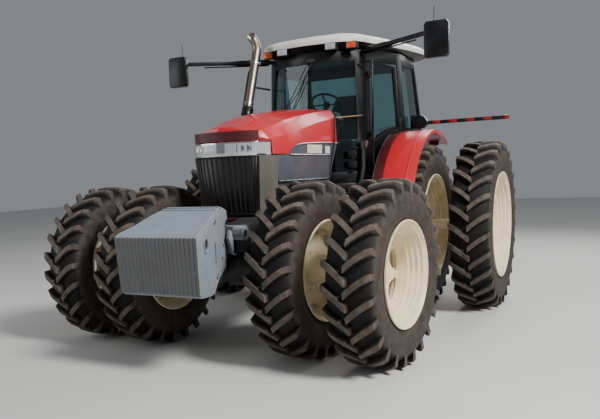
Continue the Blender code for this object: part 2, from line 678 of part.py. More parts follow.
def hood_side(side, sign):
    """Grey panel that fills the arch in the hood's side, down to the seam."""
    shape = bmesh.new()
    low = []
    high = []
    for y, (x, z), *rest in hood_stations()[:-1]:
        y = max(y, -1.2395)
        low.append(shape.verts.new((sign * (x - 0.012), y, SIDE_SEAM_Z)))
        high.append(shape.verts.new((sign * (x - 0.001), y, z - HOOD_SEAM)))
    for i in range(len(low) - 1):
        shape.faces.new((low[i], low[i + 1], high[i + 1], high[i]))
    panel = as_object(f"hood_side_{side}", shape)
    if panel.data.polygons[0].normal.x * sign < 0:
        panel.data.flip_normals()
    skin = panel.modifiers.new("Solidify", "SOLIDIFY")
    skin.thickness = PANEL_THICKNESS
    skin.offset = -1.0
    return paint(panel, "dark_grey_paint", DARK_GREY, 0.45)


def hood():
    hinge = pivot("hood_hinge", (0.0, HOOD_HINGE_Y, HOOD_HINGE_Z))
    pieces = [hood_shell(), *front_of_hood()]
    pieces += [hood_side("left", 1), hood_side("right", -1)]
    for piece in pieces:
        hang(piece, hinge)


def side_panels():
    """Fixed lower panels, which lean in below the seam so that the wheels can steer."""
    for side, sign in (("left", 1), ("right", -1)):
        top = SIDE_SEAM_Z - 0.006
        points = [(-1.225, 0.400, 0.352), (-0.700, 0.425, 0.365), (0.020, 0.440, 0.390)]
        rings = []
        for y, x_top, x_low in points:
            ring = [(sign * x_low, y, PANEL_BOTTOM_Z), (sign * x_top, y, top),
                    (sign * (x_top - PANEL_THICKNESS), y, top),
                    (sign * (x_low - PANEL_THICKNESS), y, PANEL_BOTTOM_Z)]
            rings.append(ring)
        panel = loft(f"side_panel_{side}", rings)
        brackets = []
        for i, (y, reach) in enumerate(((-0.95, 0.363), (-0.15, 0.388))):
            near, far = sorted((sign * (RAIL_INNER_X + TOUCH_GAP), sign * reach))
            brackets.append(box(f"panel_bracket_{side}_{i}", (near, y, 1.36), (far, y + 0.04, 1.40)))
        fuse(panel, *brackets)
        paint(panel, "dark_grey_paint", DARK_GREY, 0.45)


# --- Cab --------------------------------------------------------------------

# Half outlines of the cab in plan, from the middle of the windscreen to the middle of the rear.
CAB_PLAN = {
    FLOOR_TOP_Z: [(0.0, 0.400), (0.340, 0.460), (0.595, 0.660), (0.640, 0.790), (0.845, 1.571),
                  (0.850, 1.650), (0.850, 1.920), (0.780, 2.000)],
    CAB_WAIST_Z: [(0.0, 0.450), (0.330, 0.505), (0.575, 0.700), (0.622, 0.798), (0.808, 1.508),
                  (0.830, 1.590), (0.850, 2.290), (0.780, 2.360)],
    CAB_TOP_Z: [(0.0, 0.530), (0.310, 0.580), (0.540, 0.760), (0.600, 0.808), (0.766, 1.440),
                (0.790, 1.520), (0.800, 2.100), (0.720, 2.180)],
}


def offset_plan(half, inset):
    """Move a closed plan inwards by the same distance on every side."""
    whole = list(half) + [(-x, y) for x, y in reversed(half) if x > 0]
    count = len(whole)
    moved = []
    for i, here in enumerate(whole):
        here = Vector(here)
        before = Vector(whole[i - 1])
        after = Vector(whole[(i + 1) % count])
        first = (here - before).normalized()
        second = (after - here).normalized()
        normal_one = Vector((-first.y, first.x))
        normal_two = Vector((-second.y, second.x))
        middle = (normal_one + normal_two).normalized()
        moved.append(tuple(here + middle * inset / max(0.3, middle.dot(normal_one))))
    return moved


def cab_rings(inset):
    return [[(x, y, z) for x, y in offset_plan(half, inset)] for z, half in CAB_PLAN.items()]


def cab_shell(name, inset, thickness):
    """A closed ring of wall between two offsets of the cab's plan, open above and below."""
    outer = cab_rings(inset)
    inner = cab_rings(inset + thickness)
    shape = bmesh.new()
    walls = [[[shape.verts.new(p) for p in ring] for ring in rings] for rings in (outer, inner)]
    count = len(walls[0][0])
    for wall in walls:
        for here, there in zip(wall, wall[1:]):
            for i in range(count):
                j = (i + 1) % count
                shape.faces.new((here[i], here[j], there[j], there[i]))
    for level in (0, -1):
        for i in range(count):
            j = (i + 1) % count
            shape.faces.new((walls[0][level][i], walls[0][level][j],
                             walls[1][level][j], walls[1][level][i]))
    return as_object(name, shape)


def arc_points(radius, y_from, y_to, steps):
    """Points (y, z) on a circle about the rear axle, above it, from one y to the other."""
    points = []
    for i in range(steps + 1):
        y = y_from + (y_to - y_from) * i / steps
        points.append((y, REAR_TYRE_RADIUS + math.sqrt(radius ** 2 - (y - REAR_AXLE_Y) ** 2)))
    return points


def door_outline(inset):
    """The door opening seen from the side; its lower edge follows the fender."""
    front = 0.822 + inset
    top = WINDOW_TOP_Z - inset
    radius = FENDER_RADIUS + DOOR_OVER_FENDER + inset
    low_rear_y = 1.505 - 1.1 * inset
    high_rear_y = 1.440 - 1.1 * inset
    arc = arc_points(radius, low_rear_y, front, 6)
    return [(front, top), (high_rear_y, top)] + arc


def quarter_outline(inset):
    low = FENDER_RADIUS + REAR_TYRE_RADIUS + 0.045 + inset
    return [(1.600 + inset, low), (2.250 - 1.2 * inset, low), (2.075 - inset, WINDOW_TOP_Z - inset),
            (1.545 + inset, WINDOW_TOP_Z - inset)]


def front_outline(inset):
    half_low = 0.560 - inset
    half_high = 0.500 - inset
    return [(-half_low, WINDOW_SILL_Z + inset), (half_low, WINDOW_SILL_Z + inset),
            (half_high, WINDOW_TOP_Z - inset), (-half_high, WINDOW_TOP_Z - inset)]


def rear_outline(inset):
    half_low = 0.720 - inset
    half_high = 0.660 - inset
    return [(-half_low, 1.80 + inset), (half_low, 1.80 + inset),
            (half_high, WINDOW_TOP_Z - inset), (-half_high, WINDOW_TOP_Z - inset)]


def side_block(name, outline, sign):
    return prism(name, outline, "X", *sorted((sign * 0.45, sign * 1.0)))


def arch_space(name):
    """Room for both wheel arches, which the cab's lower walls stand clear of."""
    spaces = []
    for sign in (-1, 1):
        start = (sign * (ARCH_INNER_X - TOUCH_GAP), REAR_AXLE_Y, REAR_TYRE_RADIUS)
        end = (sign * 1.10, REAR_AXLE_Y, REAR_TYRE_RADIUS)
        spaces.append(cylinder(f"{name}_{sign}", start, end, FENDER_RADIUS + 0.0045, "X", 72))
    return spaces


def grab_rail():
    """Handrail just outboard of the left front post."""
    path = [(0.560, 0.716, 2.905), (0.690, 0.700, 2.905), (0.712, 0.700, 2.885),
            (0.712, 0.700, 1.625), (0.690, 0.700, 1.600), (0.590, 0.700, 1.600)]
    return pipe("grab_rail_left", path, 0.012, 8)


def cab():
    frame = cab_shell("cab_frame", 0.0, CAB_WALL)
    openings = [prism("windscreen_opening", front_outline(0.0), "Y", 0.20, 0.85),
                prism("rear_opening", rear_outline(0.0), "Y", 1.85, 2.60)]
    for side, sign in (("left", 1), ("right", -1)):
        openings.append(side_block(f"door_opening_{side}", door_outline(0.0), sign))
        openings.append(side_block(f"quarter_opening_{side}", quarter_outline(0.0), sign))
    cut(frame, *openings, *arch_space("arch_space"))
    lugs = [box(f"hinge_lug_{i}", (0.590, 0.772, z - 0.025),
                (DOOR_HINGE_X + 0.011, 0.811, z - PIN_GAP)) for i, z in enumerate((2.05, 2.75))]
    fuse(frame, *lugs, grab_rail())
    paint(frame, "black_cab_paint", BLACK, 0.4)

    def pane(name, block):
        glass = cab_shell(name, GLASS_DEPTH, GLASS_THICKNESS)
        keep_inside(glass, block)
        return paint(glass, "tinted_glass", TINT, 0.05)

    pane("windshield", prism("windscreen_cut", front_outline(TOUCH_GAP), "Y", 0.20, 0.85))
    pane("rear_window", prism("rear_cut", rear_outline(TOUCH_GAP), "Y", 1.85, 2.60))
    pane("window_right", side_block("window_cut_right", door_outline(TOUCH_GAP), -1))
    for side, sign in (("left", 1), ("right", -1)):
        pane(f"quarter_window_{side}", side_block(f"quarter_cut_{side}", quarter_outline(TOUCH_GAP), sign))
    door(pane)
    cab_base()
    roof()


def door(pane):
    """Left door: hinged at the front post, with a lower edge that clears the fender."""
    leaf = cab_shell("door_left_frame", 0.002, CAB_WALL - 0.010)
    keep_inside(leaf, side_block("door_cut", door_outline(DOOR_GAP), 1))
    relief = prism("door_corner_relief", [(0.520, 0.815), (0.608, 0.815), (0.640, 0.960), (0.560, 0.980)],
                   "Z", 1.840, 1.990)
    toe = box("door_toe_cut", (0.500, 0.815, 1.850), (0.700, 0.862, 1.912))
    cut(leaf, side_block("door_window_cut", door_outline(DOOR_GAP + DOOR_RAIL), 1), relief, toe)
    barrels = []
    for i, z in enumerate((2.05, 2.75)):
        foot = (DOOR_HINGE_X, DOOR_HINGE_Y, z)
        head = (DOOR_HINGE_X, DOOR_HINGE_Y, z + 0.07)
        barrels.append(cylinder(f"hinge_barrel_{i}", foot, head, HINGE_BARREL_RADIUS, "Z", 10))
        barrels.append(box(f"hinge_strap_{i}", (0.634, DOOR_HINGE_Y, z + 0.005),
                           (DOOR_HINGE_X + 0.006, DOOR_HINGE_Y + 0.062, z + 0.065)))
        barrels.append(box(f"hinge_foot_{i}", (0.605, DOOR_HINGE_Y + 0.034, z + 0.005),
                           (DOOR_HINGE_X + 0.004, DOOR_HINGE_Y + 0.060, z + 0.065)))
    fuse(leaf, *barrels)
    paint(leaf, "black_cab_paint", BLACK, 0.4)
    edge = door_outline(DOOR_GAP + DOOR_RAIL + TOUCH_GAP)
    glass = pane("door_left_glass", side_block("door_glass_cut", edge, 1))
    hinge = pivot("door_hinge", (DOOR_HINGE_X, DOOR_HINGE_Y, 2.4))
    hang(leaf, hinge)
    hang(glass, hinge)


def cab_base():
    """Cab floor between the wheel arches, on two mounts over the gearbox."""
    limit = ARCH_INNER_X - TOUCH_GAP
    half = [(0.0, 0.400), (0.340, 0.460), (0.595, 0.660), (limit, 1.02), (limit, 2.000)]
    plan = half + [(-x, y) for x, y in reversed(half) if x > 0]
    floor = prism("cab_base", plan, "Z", FLOOR_BOTTOM_Z, FLOOR_TOP_Z - TOUCH_GAP)
    mounts = [cylinder(f"cab_mount_{sign}", (sign * 0.17, 0.75, GEARBOX_TOP_Z + TOUCH_GAP),
                       (sign * 0.17, 0.75, FLOOR_BOTTOM_Z + 0.01), 0.05, "Z", 12) for sign in (-1, 1)]
    fuse(floor, *mounts)
    paint(floor, "black_cab_paint", BLACK, 0.4)


ROOF_PLAN = [(0.0, 0.440), (0.420, 0.480), (0.600, 0.600), (0.720, 1.050), (0.860, 1.720),
             (0.930, 2.080), (0.930, 2.360), (0.840, 2.450), (0.450, 2.490)]


def roof():
    """White roof cap: a soft-edged slab that overhangs the frame, lower towards the back."""
    levels = ((0.115, CAB_TOP_Z + TOUCH_GAP, 0.0), (0.010, ROOF_RIM_Z - 0.005, -0.030),
              (0.0, ROOF_RIM_Z + 0.045, -0.030), (0.055, 3.215, -0.030), (0.300, 3.270, -0.020))
    rings = []
    for inset, z, drop in levels:
        ring = []
        for x, y in offset_plan(ROOF_PLAN + [(0.0, 2.495)], inset):
            ring.append((x, y, z + drop * max(0.0, (y - 1.6) / 0.9)))
        rings.append(ring)
    cap = loft("roof", rings)
    cap = rounded(cap, 40.0)
    paint(cap, "white_gelcoat", WHITE, 0.35)


def fenders():
    """Each fender is an arc over the rear wheel, with an outer lip and an inner wall beside the cab."""
    for side, sign in (("left", 1), ("right", -1)):
        outer = []
        inner = []
        steps = 14
        for i in range(steps + 1):
            angle = math.radians(FENDER_FRONT_DEG + (FENDER_REAR_DEG - FENDER_FRONT_DEG) * i / steps)
            for radius, points in ((FENDER_RADIUS, outer), (FENDER_RADIUS - FENDER_THICKNESS, inner)):
                points.append((REAR_AXLE_Y + radius * math.cos(angle),
                               REAR_TYRE_RADIUS + radius * math.sin(angle)))
        outline = outer + list(reversed(inner))
        low, high = sorted((sign * ARCH_INNER_X, sign * FENDER_OUTER_X))
        skin = prism(f"fender_{side}", outline, "X", low, high)
        lip = sorted((sign * (FENDER_OUTER_X - 0.012), sign * FENDER_OUTER_X))
        drop = 0.045
        lip_outline = outer + [(REAR_AXLE_Y + (y - REAR_AXLE_Y) * (1 - drop / FENDER_RADIUS),
                                REAR_TYRE_RADIUS + (z - REAR_TYRE_RADIUS) * (1 - drop / FENDER_RADIUS))
                               for y, z in reversed(outer)]
        wall = sorted((sign * ARCH_INNER_X, sign * (ARCH_INNER_X + 0.012)))
        wall_outline = [p for p in outer if p[1] > FLOOR_BOTTOM_Z]
        first = wall_outline[0]
        last = wall_outline[-1]
        wall_outline = wall_outline + [(last[0] - 0.02, FLOOR_BOTTOM_Z), (first[0] + 0.02, FLOOR_BOTTOM_Z)]
        fuse(skin, prism(f"fender_lip_{side}", lip_outline, "X", *lip),
             prism(f"arch_wall_{side}", wall_outline, "X", *wall))
        paint(rounded(skin), "red_enamel", RED, 0.3)


def cab_inside():
    """Seat, controls and steering wheel."""
    pedestal = box("seat_pedestal", (-0.17, 1.42, FLOOR_TOP_Z), (0.17, 1.78, 1.93))
    cushion_outline = [(1.30, 1.9603), (1.28, 2.02), (1.33, 2.06), (1.80, 2.05), (1.82, 1.9603)]
    cushion = prism("seat_cushion", cushion_outline, "X", -0.25, 0.25)
    fuse(pedestal, box("seat_pan", (-0.24, 1.32, 1.92), (0.24, 1.80, 1.96)))
    paint(pedestal, "black_plastic", BLACK, 0.6)
    paint(cushion, "seat_cloth", SEAT_GREY, 0.9)
    back_outline = [(-0.25, 2.053), (0.25, 2.053), (0.26, 2.40), (0.18, 2.62), (0.12, 2.68),
                    (-0.12, 2.68), (-0.18, 2.62), (-0.26, 2.40)]
    rings = [[(x, y + (z - 2.06) * 0.18, z) for x, z in back_outline] for y in (1.70, 1.82)]
    paint(loft("seat_back", rings), "seat_cloth", SEAT_GREY, 0.9)
    console = prism("side_console", [(1.15, FLOOR_TOP_Z), (1.15, 2.02), (1.25, 2.10), (1.85, 2.16),
                                     (1.85, FLOOR_TOP_Z)], "X", -0.47, -0.30)
    paint(console, "black_plastic", BLACK, 0.6)
    dash_rings = []
    for z, half, y0, y1 in ((FLOOR_TOP_Z, 0.15, 0.56, 0.86), (1.95, 0.16, 0.58, 0.88),
                            (2.28, 0.26, 0.62, 1.00), (2.38, 0.20, 0.70, 0.96)):
        dash_rings.append([(-half, y0, z), (half, y0, z), (half, y1, z), (-half, y1, z)])
    dash = loft("dash_cowl", dash_rings)
    column = pipe("steering_column", [(0.0, 0.90, 2.24), (0.0, 1.085, 2.475)], 0.028, 12)
    fuse(dash, column)
    paint(dash, "black_plastic", BLACK, 0.6)
    tilt = math.radians(38.0)
    centre = Vector((0.0, 1.10, 2.494))
    ring = [(0.014 * math.cos(a), 0.190 + 0.014 * math.sin(a))
            for a in (math.radians(60 * i) for i in range(6))]
    wheel = turned("steering_wheel", ring, axis="Z", sides=20)
    spokes = [prism("wheel_spoke_cross", [(-0.190, -0.016), (0.190, -0.016), (0.190, 0.016),
                                          (-0.190, 0.016)], "Z", -0.008, 0.008),
              prism("wheel_spoke_down", [(-0.016, -0.190), (0.016, -0.190), (0.016, 0.0),
                                         (-0.016, 0.0)], "Z", -0.008, 0.008),
              cylinder("wheel_hub", (0.0, 0.0, -0.024), (0.0, 0.0, 0.014), 0.045, "Z", 16)]
    fuse(wheel, *spokes)
    wheel.location = centre
    wheel.rotation_euler = (-tilt, 0.0, 0.0)
    paint(rounded(wheel), "black_plastic", BLACK, 0.6)


# --- Outside of the cab -----------------------------------------------------


def exhaust():
    """Leaning exhaust stack at the right of the hood, its lower elbow on the engine's side."""
    foot = Vector((-0.640, -0.235, 1.330))
    head = Vector((-0.600, 0.420, 3.150))

    def along(t):
        return foot.lerp(head, t)

    path = [(-RAIL_INNER_X - PIN_GAP, -0.265, 1.235), (-0.560, -0.265, 1.235), (-0.630, -0.255, 1.270),
            along(0.0), along(0.06), along(0.065), along(0.62), along(0.63), head,
            (-0.612, 0.415, 3.230), (-0.650, 0.385, 3.300), (-0.690, 0.350, 3.345)]
    radii = [0.050, 0.050, 0.050, 0.052, 0.052, 0.070, 0.070, 0.052, 0.052, 0.052, 0.052, 0.052]
    stack = pipe("exhaust_stack", path, radii, 14)
    stay_high = along(0.755)
    post = Vector((-0.602, 0.700, stay_high.z))
    fuse(stack, bar("exhaust_stay", stay_high, (post.x, 0.7395, post.z), 0.030, 0.012))
    paint(rounded(stack), "exhaust_steel", STEEL, 0.4, 1.0)


def mirrors_and_lights():
    for side, sign in (("left", 1), ("right", -1)):
        root = Vector((sign * 0.5743 + 0.0010, 0.7776 - sign * 0.0004, 3.035))
        tip = Vector((sign * 1.560, 0.200, 3.060))
        arm = bar(f"mirror_{side}", root, tip, 0.030, 0.045)
        drop = bar(f"mirror_drop_{side}", tip + Vector((0, 0.0, 0.02)),
                   tip + Vector((sign * 0.001, 0.001, -0.20)), 0.026, 0.026)
        outline = [(-0.10, -0.18), (0.10, -0.18), (0.12, -0.15), (0.12, 0.15), (0.10, 0.18),
                   (-0.10, 0.18), (-0.12, 0.15), (-0.12, -0.15)]
        centre = (tip.x, tip.y + 0.0165, 2.960)
        head = prism(f"mirror_head_{side}", [(centre[0] + a, centre[2] + b) for a, b in outline], "Y",
                     centre[1] - 0.090, centre[1] - 0.0200)
        fuse(arm, drop, head)
        paint(arm, "black_paint", BLACK, 0.5)
        rear = 1.820
        near, far = sorted((sign * 0.8545, sign * 1.990))
        mast = box(f"light_arm_{side}", (near, rear - 0.03, 2.205), (far, rear + 0.03, 2.250))
        outline = [(0.8395, 2.160), (1.000, 2.160), (1.060, 2.215), (1.020, 2.300), (0.960, 2.330),
                   (0.8395, 2.330)]
        block = prism(f"light_arm_root_{side}", [(sign * a, b) for a, b in outline], "Y",
                      rear - 0.04, rear + 0.04)
        fuse(mast, block)
        paint(mast, "black_paint", BLACK, 0.5)


def steps_and_tank():
    """Left steps and right fuel tank."""
    platform = box("cab_steps_left", (0.500, 0.120, 1.390), (0.930, 0.440, 1.4297))
    plates = [box(f"step_plate_{i}", (0.560, y, 0.500), (0.900, y + 0.012, 1.395))
              for i, y in enumerate((0.135, 0.413))]
    treads = [box(f"step_tread_{i}", (0.600, 0.140, z), (0.900, 0.420, z + 0.025))
              for i, z in enumerate((0.52, 0.81, 1.10))]
    stay = box("step_stay", (GEARBOX_HALF_WIDTH + TOUCH_GAP, 0.20, 1.20), (0.560, 0.36, 1.26))
    riser = box("step_riser", (0.510, 0.20, 1.20), (0.560, 0.36, 1.40))
    fuse(platform, *plates, *treads, stay, riser)
    paint(platform, "black_paint", BLACK, 0.5)
    corners = [(-0.700, 0.66), (-0.720, 0.70), (-0.720, 1.30), (-0.700, 1.36),
               (-0.2405, 1.36), (-0.2405, 0.66)]
    tank = prism("fuel_tank", corners, "Y", 0.060, 0.480)
    paint(tank, "black_plastic", BLACK, 0.6)


# --- Hitch ------------------------------------------------------------------


def hitch():
    for side, sign in (("left", 1), ("right", -1)):
        pivot_point = LINK_PIVOT + Vector((sign * (LINK_INNER_X + 0.5 * LINK_THICKNESS), 0, 0))
        end = Vector((sign * LINK_END_X, HITCH_END_Y - LINK_EYE_RADIUS, LINK_EYE_Z))
        link = bar(f"lower_link_{side}", pivot_point.lerp(end, 0.04), end, LINK_THICKNESS - 0.004, 0.080)
        eyes = [cylinder(f"link_root_{side}", (sign * LINK_INNER_X, LINK_PIVOT.y, LINK_PIVOT.z),
                         (sign * (LINK_INNER_X + LINK_THICKNESS), LINK_PIVOT.y, LINK_PIVOT.z), 0.052),
                cylinder(f"link_ball_{side}", (end.x - sign * 0.028, end.y, end.z),
                         (end.x + sign * 0.028, end.y, end.z), LINK_EYE_RADIUS)]
        fuse(link, *eyes)
        paint(rounded(link), "black_paint", BLACK, 0.5)
        hang(link, pivot(f"lower_link_{side}_pivot", (pivot_point.x, LINK_PIVOT.y, LINK_PIVOT.z)))
        run = (end - pivot_point).normalized()
        low_pin = pivot_point + run * LIFT_POINT
        reach = Vector((0.0, low_pin.y - LINK_PIVOT.y, low_pin.z - LINK_PIVOT.z))
        high_pin = ROCKSHAFT + reach
        rod_x = sign * (ARM_OUTER_X + PIN_GAP + 0.0175)
        top = Vector((rod_x, high_pin.y, high_pin.z))
        bottom = Vector((rod_x, low_pin.y, low_pin.z))
        rod = bar(f"lift_rod_{side}", top, bottom, 0.035, 0.035)
        ends = [cylinder(f"rod_end_{side}_{i}", (rod_x - 0.0175, p.y, p.z), (rod_x + 0.0175, p.y, p.z),
                         0.034, "X", 12) for i, p in enumerate((top, bottom))]
        fuse(rod, *ends)
        paint(rounded(rod), "black_paint", BLACK, 0.5)
        hang(rod, pivot(f"lift_rod_{side}_pin", top))
    shaft = cylinder("rockshaft_arms", (-ARM_OUTER_X, ROCKSHAFT.y, ROCKSHAFT.z),
                     (ARM_OUTER_X, ROCKSHAFT.y, ROCKSHAFT.z), ROCKSHAFT_RADIUS)
    arms = []
    for sign in (-1, 1):
        middle = sign * 0.5 * (ARM_INNER_X + ARM_OUTER_X)
        start = Vector((middle, ROCKSHAFT.y, ROCKSHAFT.z))
        finish = Vector((middle, high_pin.y, high_pin.z))
        width = ARM_OUTER_X - ARM_INNER_X
        arms.append(bar(f"lift_arm_{sign}", start, finish, width, 0.070))
        arms.append(cylinder(f"lift_arm_end_{sign}", (middle - 0.5 * width, finish.y, finish.z),
                             (middle + 0.5 * width, finish.y, finish.z), 0.036, "X", 12))
    fuse(shaft, *arms)
    paint(rounded(shaft), "black_paint", BLACK, 0.5)
    hang(shaft, pivot("rockshaft_axis", ROCKSHAFT))
    foot = TOP_LINK_PIVOT - Vector((0.0, 0.0, TOP_LINK_LENGTH))
    link = pipe("top_link", [TOP_LINK_PIVOT, TOP_LINK_PIVOT.lerp(foot, 0.25), TOP_LINK_PIVOT.lerp(foot, 0.26),
                             TOP_LINK_PIVOT.lerp(foot, 0.74), TOP_LINK_PIVOT.lerp(foot, 0.75), foot],
                [0.014, 0.014, 0.021, 0.021, 0.014, 0.014], 10)
    eyes = [cylinder(f"top_link_eye_{i}", (-0.022, p.y, p.z), (0.022, p.y, p.z), 0.032, "X", 12)
            for i, p in enumerate((TOP_LINK_PIVOT, foot))]
    fuse(link, *eyes)
    paint(rounded(link), "black_paint", BLACK, 0.5)
    hang(link, pivot("top_link_pin", TOP_LINK_PIVOT))


def clear_scene():
    for old in list(bpy.data.objects):
        bpy.data.objects.remove(old)


def build():
    clear_scene()
    for side, sign in (("left", 1), ("right", -1)):
        front_wheels(side, sign, steering_knuckle(side, sign))
        rear_wheels(side, sign)
    front_axle()
    steering_rod()
    front_frame()
    engine()
    transmission()
    weights()
    hood()
    side_panels()
    cab()
    fenders()
    cab_inside()
    exhaust()
    mirrors_and_lights()
    steps_and_tank()
    hitch()


build()
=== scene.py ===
"""Looks of a farm tractor on dual wheels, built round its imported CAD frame."""

import json
import math

import bpy
from mathutils import Matrix, Vector


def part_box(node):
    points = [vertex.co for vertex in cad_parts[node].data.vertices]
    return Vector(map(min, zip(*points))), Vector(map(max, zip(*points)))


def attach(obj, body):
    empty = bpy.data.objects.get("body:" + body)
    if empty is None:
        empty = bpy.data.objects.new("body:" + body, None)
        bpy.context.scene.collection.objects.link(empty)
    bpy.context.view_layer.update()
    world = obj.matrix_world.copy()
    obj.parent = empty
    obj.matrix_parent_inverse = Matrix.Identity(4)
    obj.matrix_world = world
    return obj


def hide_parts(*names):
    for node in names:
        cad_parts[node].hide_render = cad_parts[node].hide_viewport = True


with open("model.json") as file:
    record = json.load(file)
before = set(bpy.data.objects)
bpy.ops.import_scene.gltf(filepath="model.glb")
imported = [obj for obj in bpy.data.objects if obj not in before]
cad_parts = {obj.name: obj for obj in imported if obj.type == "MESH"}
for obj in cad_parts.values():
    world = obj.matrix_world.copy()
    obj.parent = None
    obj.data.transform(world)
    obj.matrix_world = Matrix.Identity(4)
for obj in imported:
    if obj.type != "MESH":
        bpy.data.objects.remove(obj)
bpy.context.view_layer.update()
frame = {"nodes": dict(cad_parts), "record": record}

RECORD = frame["record"]
BODY_OF = {node: body for body, nodes in RECORD["behaviour"]["bodies"].items() for node in nodes}
JOINT = {joint["name"]: joint for joint in RECORD["behaviour"]["joints"]}

# Wheels, in metres.
FRONT = {"radius": 0.8, "width": 0.435, "seat": 0.432, "rim": 0.457, "inner": 0.835, "outer": 1.554,
        "disc": (0.02, -0.1), "lugs": 24, "hub": 0.105, "start": 0.7205, "cap": 0.02, "bar": 0.14}
REAR = {"radius": 0.975, "width": 0.445, "seat": 0.59, "rim": 0.615, "inner": 1.01, "outer": 1.768,
        "disc": (-0.04, -0.11), "lugs": 27, "hub": 0.12, "start": 0.6805, "cap": 0.06, "bar": 0.06}
WHEEL_STEPS = 96
SLOTS = 8
BOLTS = 10
SIDES = {"left": 1, "right": -1}
MERGE = 0.00001
UPRIGHT = (0, math.radians(90), 0)


# --- Modelling helpers --------------------------------------------------------


def deselect():
    """Leaves nothing selected, so that the next operator takes only its own object."""
    bpy.ops.object.select_all(action="DESELECT")


def only(obj):
    """Selects this object alone and makes it the active one."""
    deselect()
    obj.select_set(True)
    bpy.context.view_layer.objects.active = obj


def named(name):
    """Names the new primitive and puts its place into its mesh."""
    obj = bpy.context.object
    obj.name = name
    obj.data.name = name
    bpy.ops.object.transform_apply(location=True, rotation=True, scale=True)
    return obj


def edit(obj):
    """Opens this object alone for editing, with all of it selected."""
    only(obj)
    bpy.ops.object.mode_set(mode="EDIT")
    bpy.ops.mesh.select_all(action="SELECT")


def leave_edit():
    bpy.ops.object.mode_set(mode="OBJECT")


def outward(obj, merge=0.0):
    """Turns every face outwards, after doubles are merged where a distance is given."""
    edit(obj)
    if merge:
        bpy.ops.mesh.remove_doubles(threshold=merge)
    bpy.ops.mesh.normals_make_consistent(inside=False)
    leave_edit()
    return obj


def modified(obj, kind, **settings):
    """Adds one modifier, sets it and applies it."""
    only(obj)
    modifier = obj.modifiers.new(kind.lower(), kind)
    for key, value in settings.items():
        setattr(modifier, key, value)
    bpy.ops.object.modifier_apply(modifier=modifier.name)
    return obj


def apply_bevel(obj, width, segments=2, angle=30.0):
    """Rounds the edges sharper than the angle."""
    return modified(obj, "BEVEL", width=width, segments=segments, limit_method="ANGLE",
            angle_limit=math.radians(angle), harden_normals=False)


def cut(obj, cutters, **settings):
    """Takes the joined cutters out of a piece and removes them."""
    cutter = joined("cutter", cutters)
    modified(obj, "BOOLEAN", object=cutter, operation="DIFFERENCE", solver="EXACT", **settings)
    bpy.data.objects.remove(cutter)


def block(name, low, high, bevel=0.004):
    """A pressed or cut block between two corners, with its edges broken."""
    deselect()
    low = Vector(low)
    high = Vector(high)
    bpy.ops.mesh.primitive_cube_add(size=1.0, location=(low + high) / 2, scale=high - low)
    return apply_bevel(named(name), bevel)


def drawn(name, points):
    """A chain of edges through the points, extruded from one vertex."""
    deselect()
    bpy.ops.mesh.primitive_plane_add(size=0.01, location=points[0])
    obj = named(name)
    edit(obj)
    bpy.ops.mesh.merge(type="CENTER")
    for here, there in zip(points, points[1:]):
        step = Vector(there) - Vector(here)
        bpy.ops.mesh.extrude_region_move(TRANSFORM_OT_translate={"value": step})
    bpy.ops.mesh.select_all(action="SELECT")
    leave_edit()
    return obj


def slab(name, outline, axis, low, high, bevel=0.003):
    """An outline given across the X or Y axis, filled and extruded along it."""
    place = {"X": lambda a, b: (low, a, b), "Y": lambda a, b: (a, low, b)}[axis]
    along = Vector({"X": (1, 0, 0), "Y": (0, 1, 0)}[axis])
    obj = drawn(name, [place(a, b) for a, b in outline])
    edit(obj)
    bpy.ops.mesh.edge_face_add()
    bpy.ops.mesh.extrude_region_move(TRANSFORM_OT_translate={"value": along * (high - low)})
    leave_edit()
    return apply_bevel(outward(obj), bevel)


def spun(name, profile, steps=WHEEL_STEPS, closed=True):
    """A profile (along, out) spun about the X axis; a closed one is a ring, an open one ends on the axis."""
    points = [(x, 0.0, r) for x, r in profile]
    obj = drawn(name, points + points[:1] if closed else points)
    edit(obj)
    bpy.ops.mesh.remove_doubles(threshold=MERGE)
    bpy.ops.mesh.spin(steps=steps, angle=math.tau, center=(0, 0, 0), axis=(1, 0, 0))
    leave_edit()
    return outward(obj, MERGE)


def rod(name, points, radius, radii=None, sides=6):
    """A round bar or hose along the points; radii scales it at each point."""
    obj = drawn(name, points)
    only(obj)
    bpy.ops.object.convert(target="CURVE")
    line = obj.data
    line.bevel_depth = radius
    line.bevel_resolution = sides
    line.use_fill_caps = True
    for point, scale in zip(line.splines[0].points, radii or ()):
        point.radius = scale
    bpy.ops.object.convert(target="MESH")
    return outward(obj, MERGE)


def copied(obj, name, matrix):
    """A copy with its own mesh, moved by the matrix; a mirrored one is turned right side out."""
    twin = obj.copy()
    twin.data = obj.data.copy()
    twin.name = name
    twin.data.name = name
    bpy.context.collection.objects.link(twin)
    twin.data.transform(matrix)
    if matrix.determinant() < 0:
        twin.data.flip_normals()
    return twin


def joined(name, pieces):
    """One object out of several, under a new name."""
    only(pieces[0])
    for piece in pieces:
        piece.select_set(True)
    bpy.ops.object.join()
    pieces[0].name = name
    pieces[0].data.name = name
    return pieces[0]


def refined(name, node, bevel=0.004, segments=2, angle=30.0):
    """A merged copy of a CAD node with its flat faces joined up and its edges rounded."""
    obj = copied(frame["nodes"][node], name, Matrix.Identity(4))
    obj.parent = None
    obj.matrix_world = Matrix.Identity(4)
    obj.data.materials.clear()
    edit(obj)
    bpy.ops.mesh.remove_doubles(threshold=0.00005)
    bpy.ops.mesh.dissolve_limited(angle_limit=math.radians(1.0))
    leave_edit()
    return apply_bevel(obj, bevel, segments, angle) if bevel else obj


def finish(obj, material, like, stands_for=False, smooth=40.0):
    """Gives a piece its material and shading, and the body of the node it is like or stands for."""
    only(obj)
    bpy.ops.object.shade_smooth_by_angle(angle=math.radians(smooth))
    dress(obj, material)
    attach(obj, BODY_OF[like])
    if stands_for:
        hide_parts(like)
    return obj


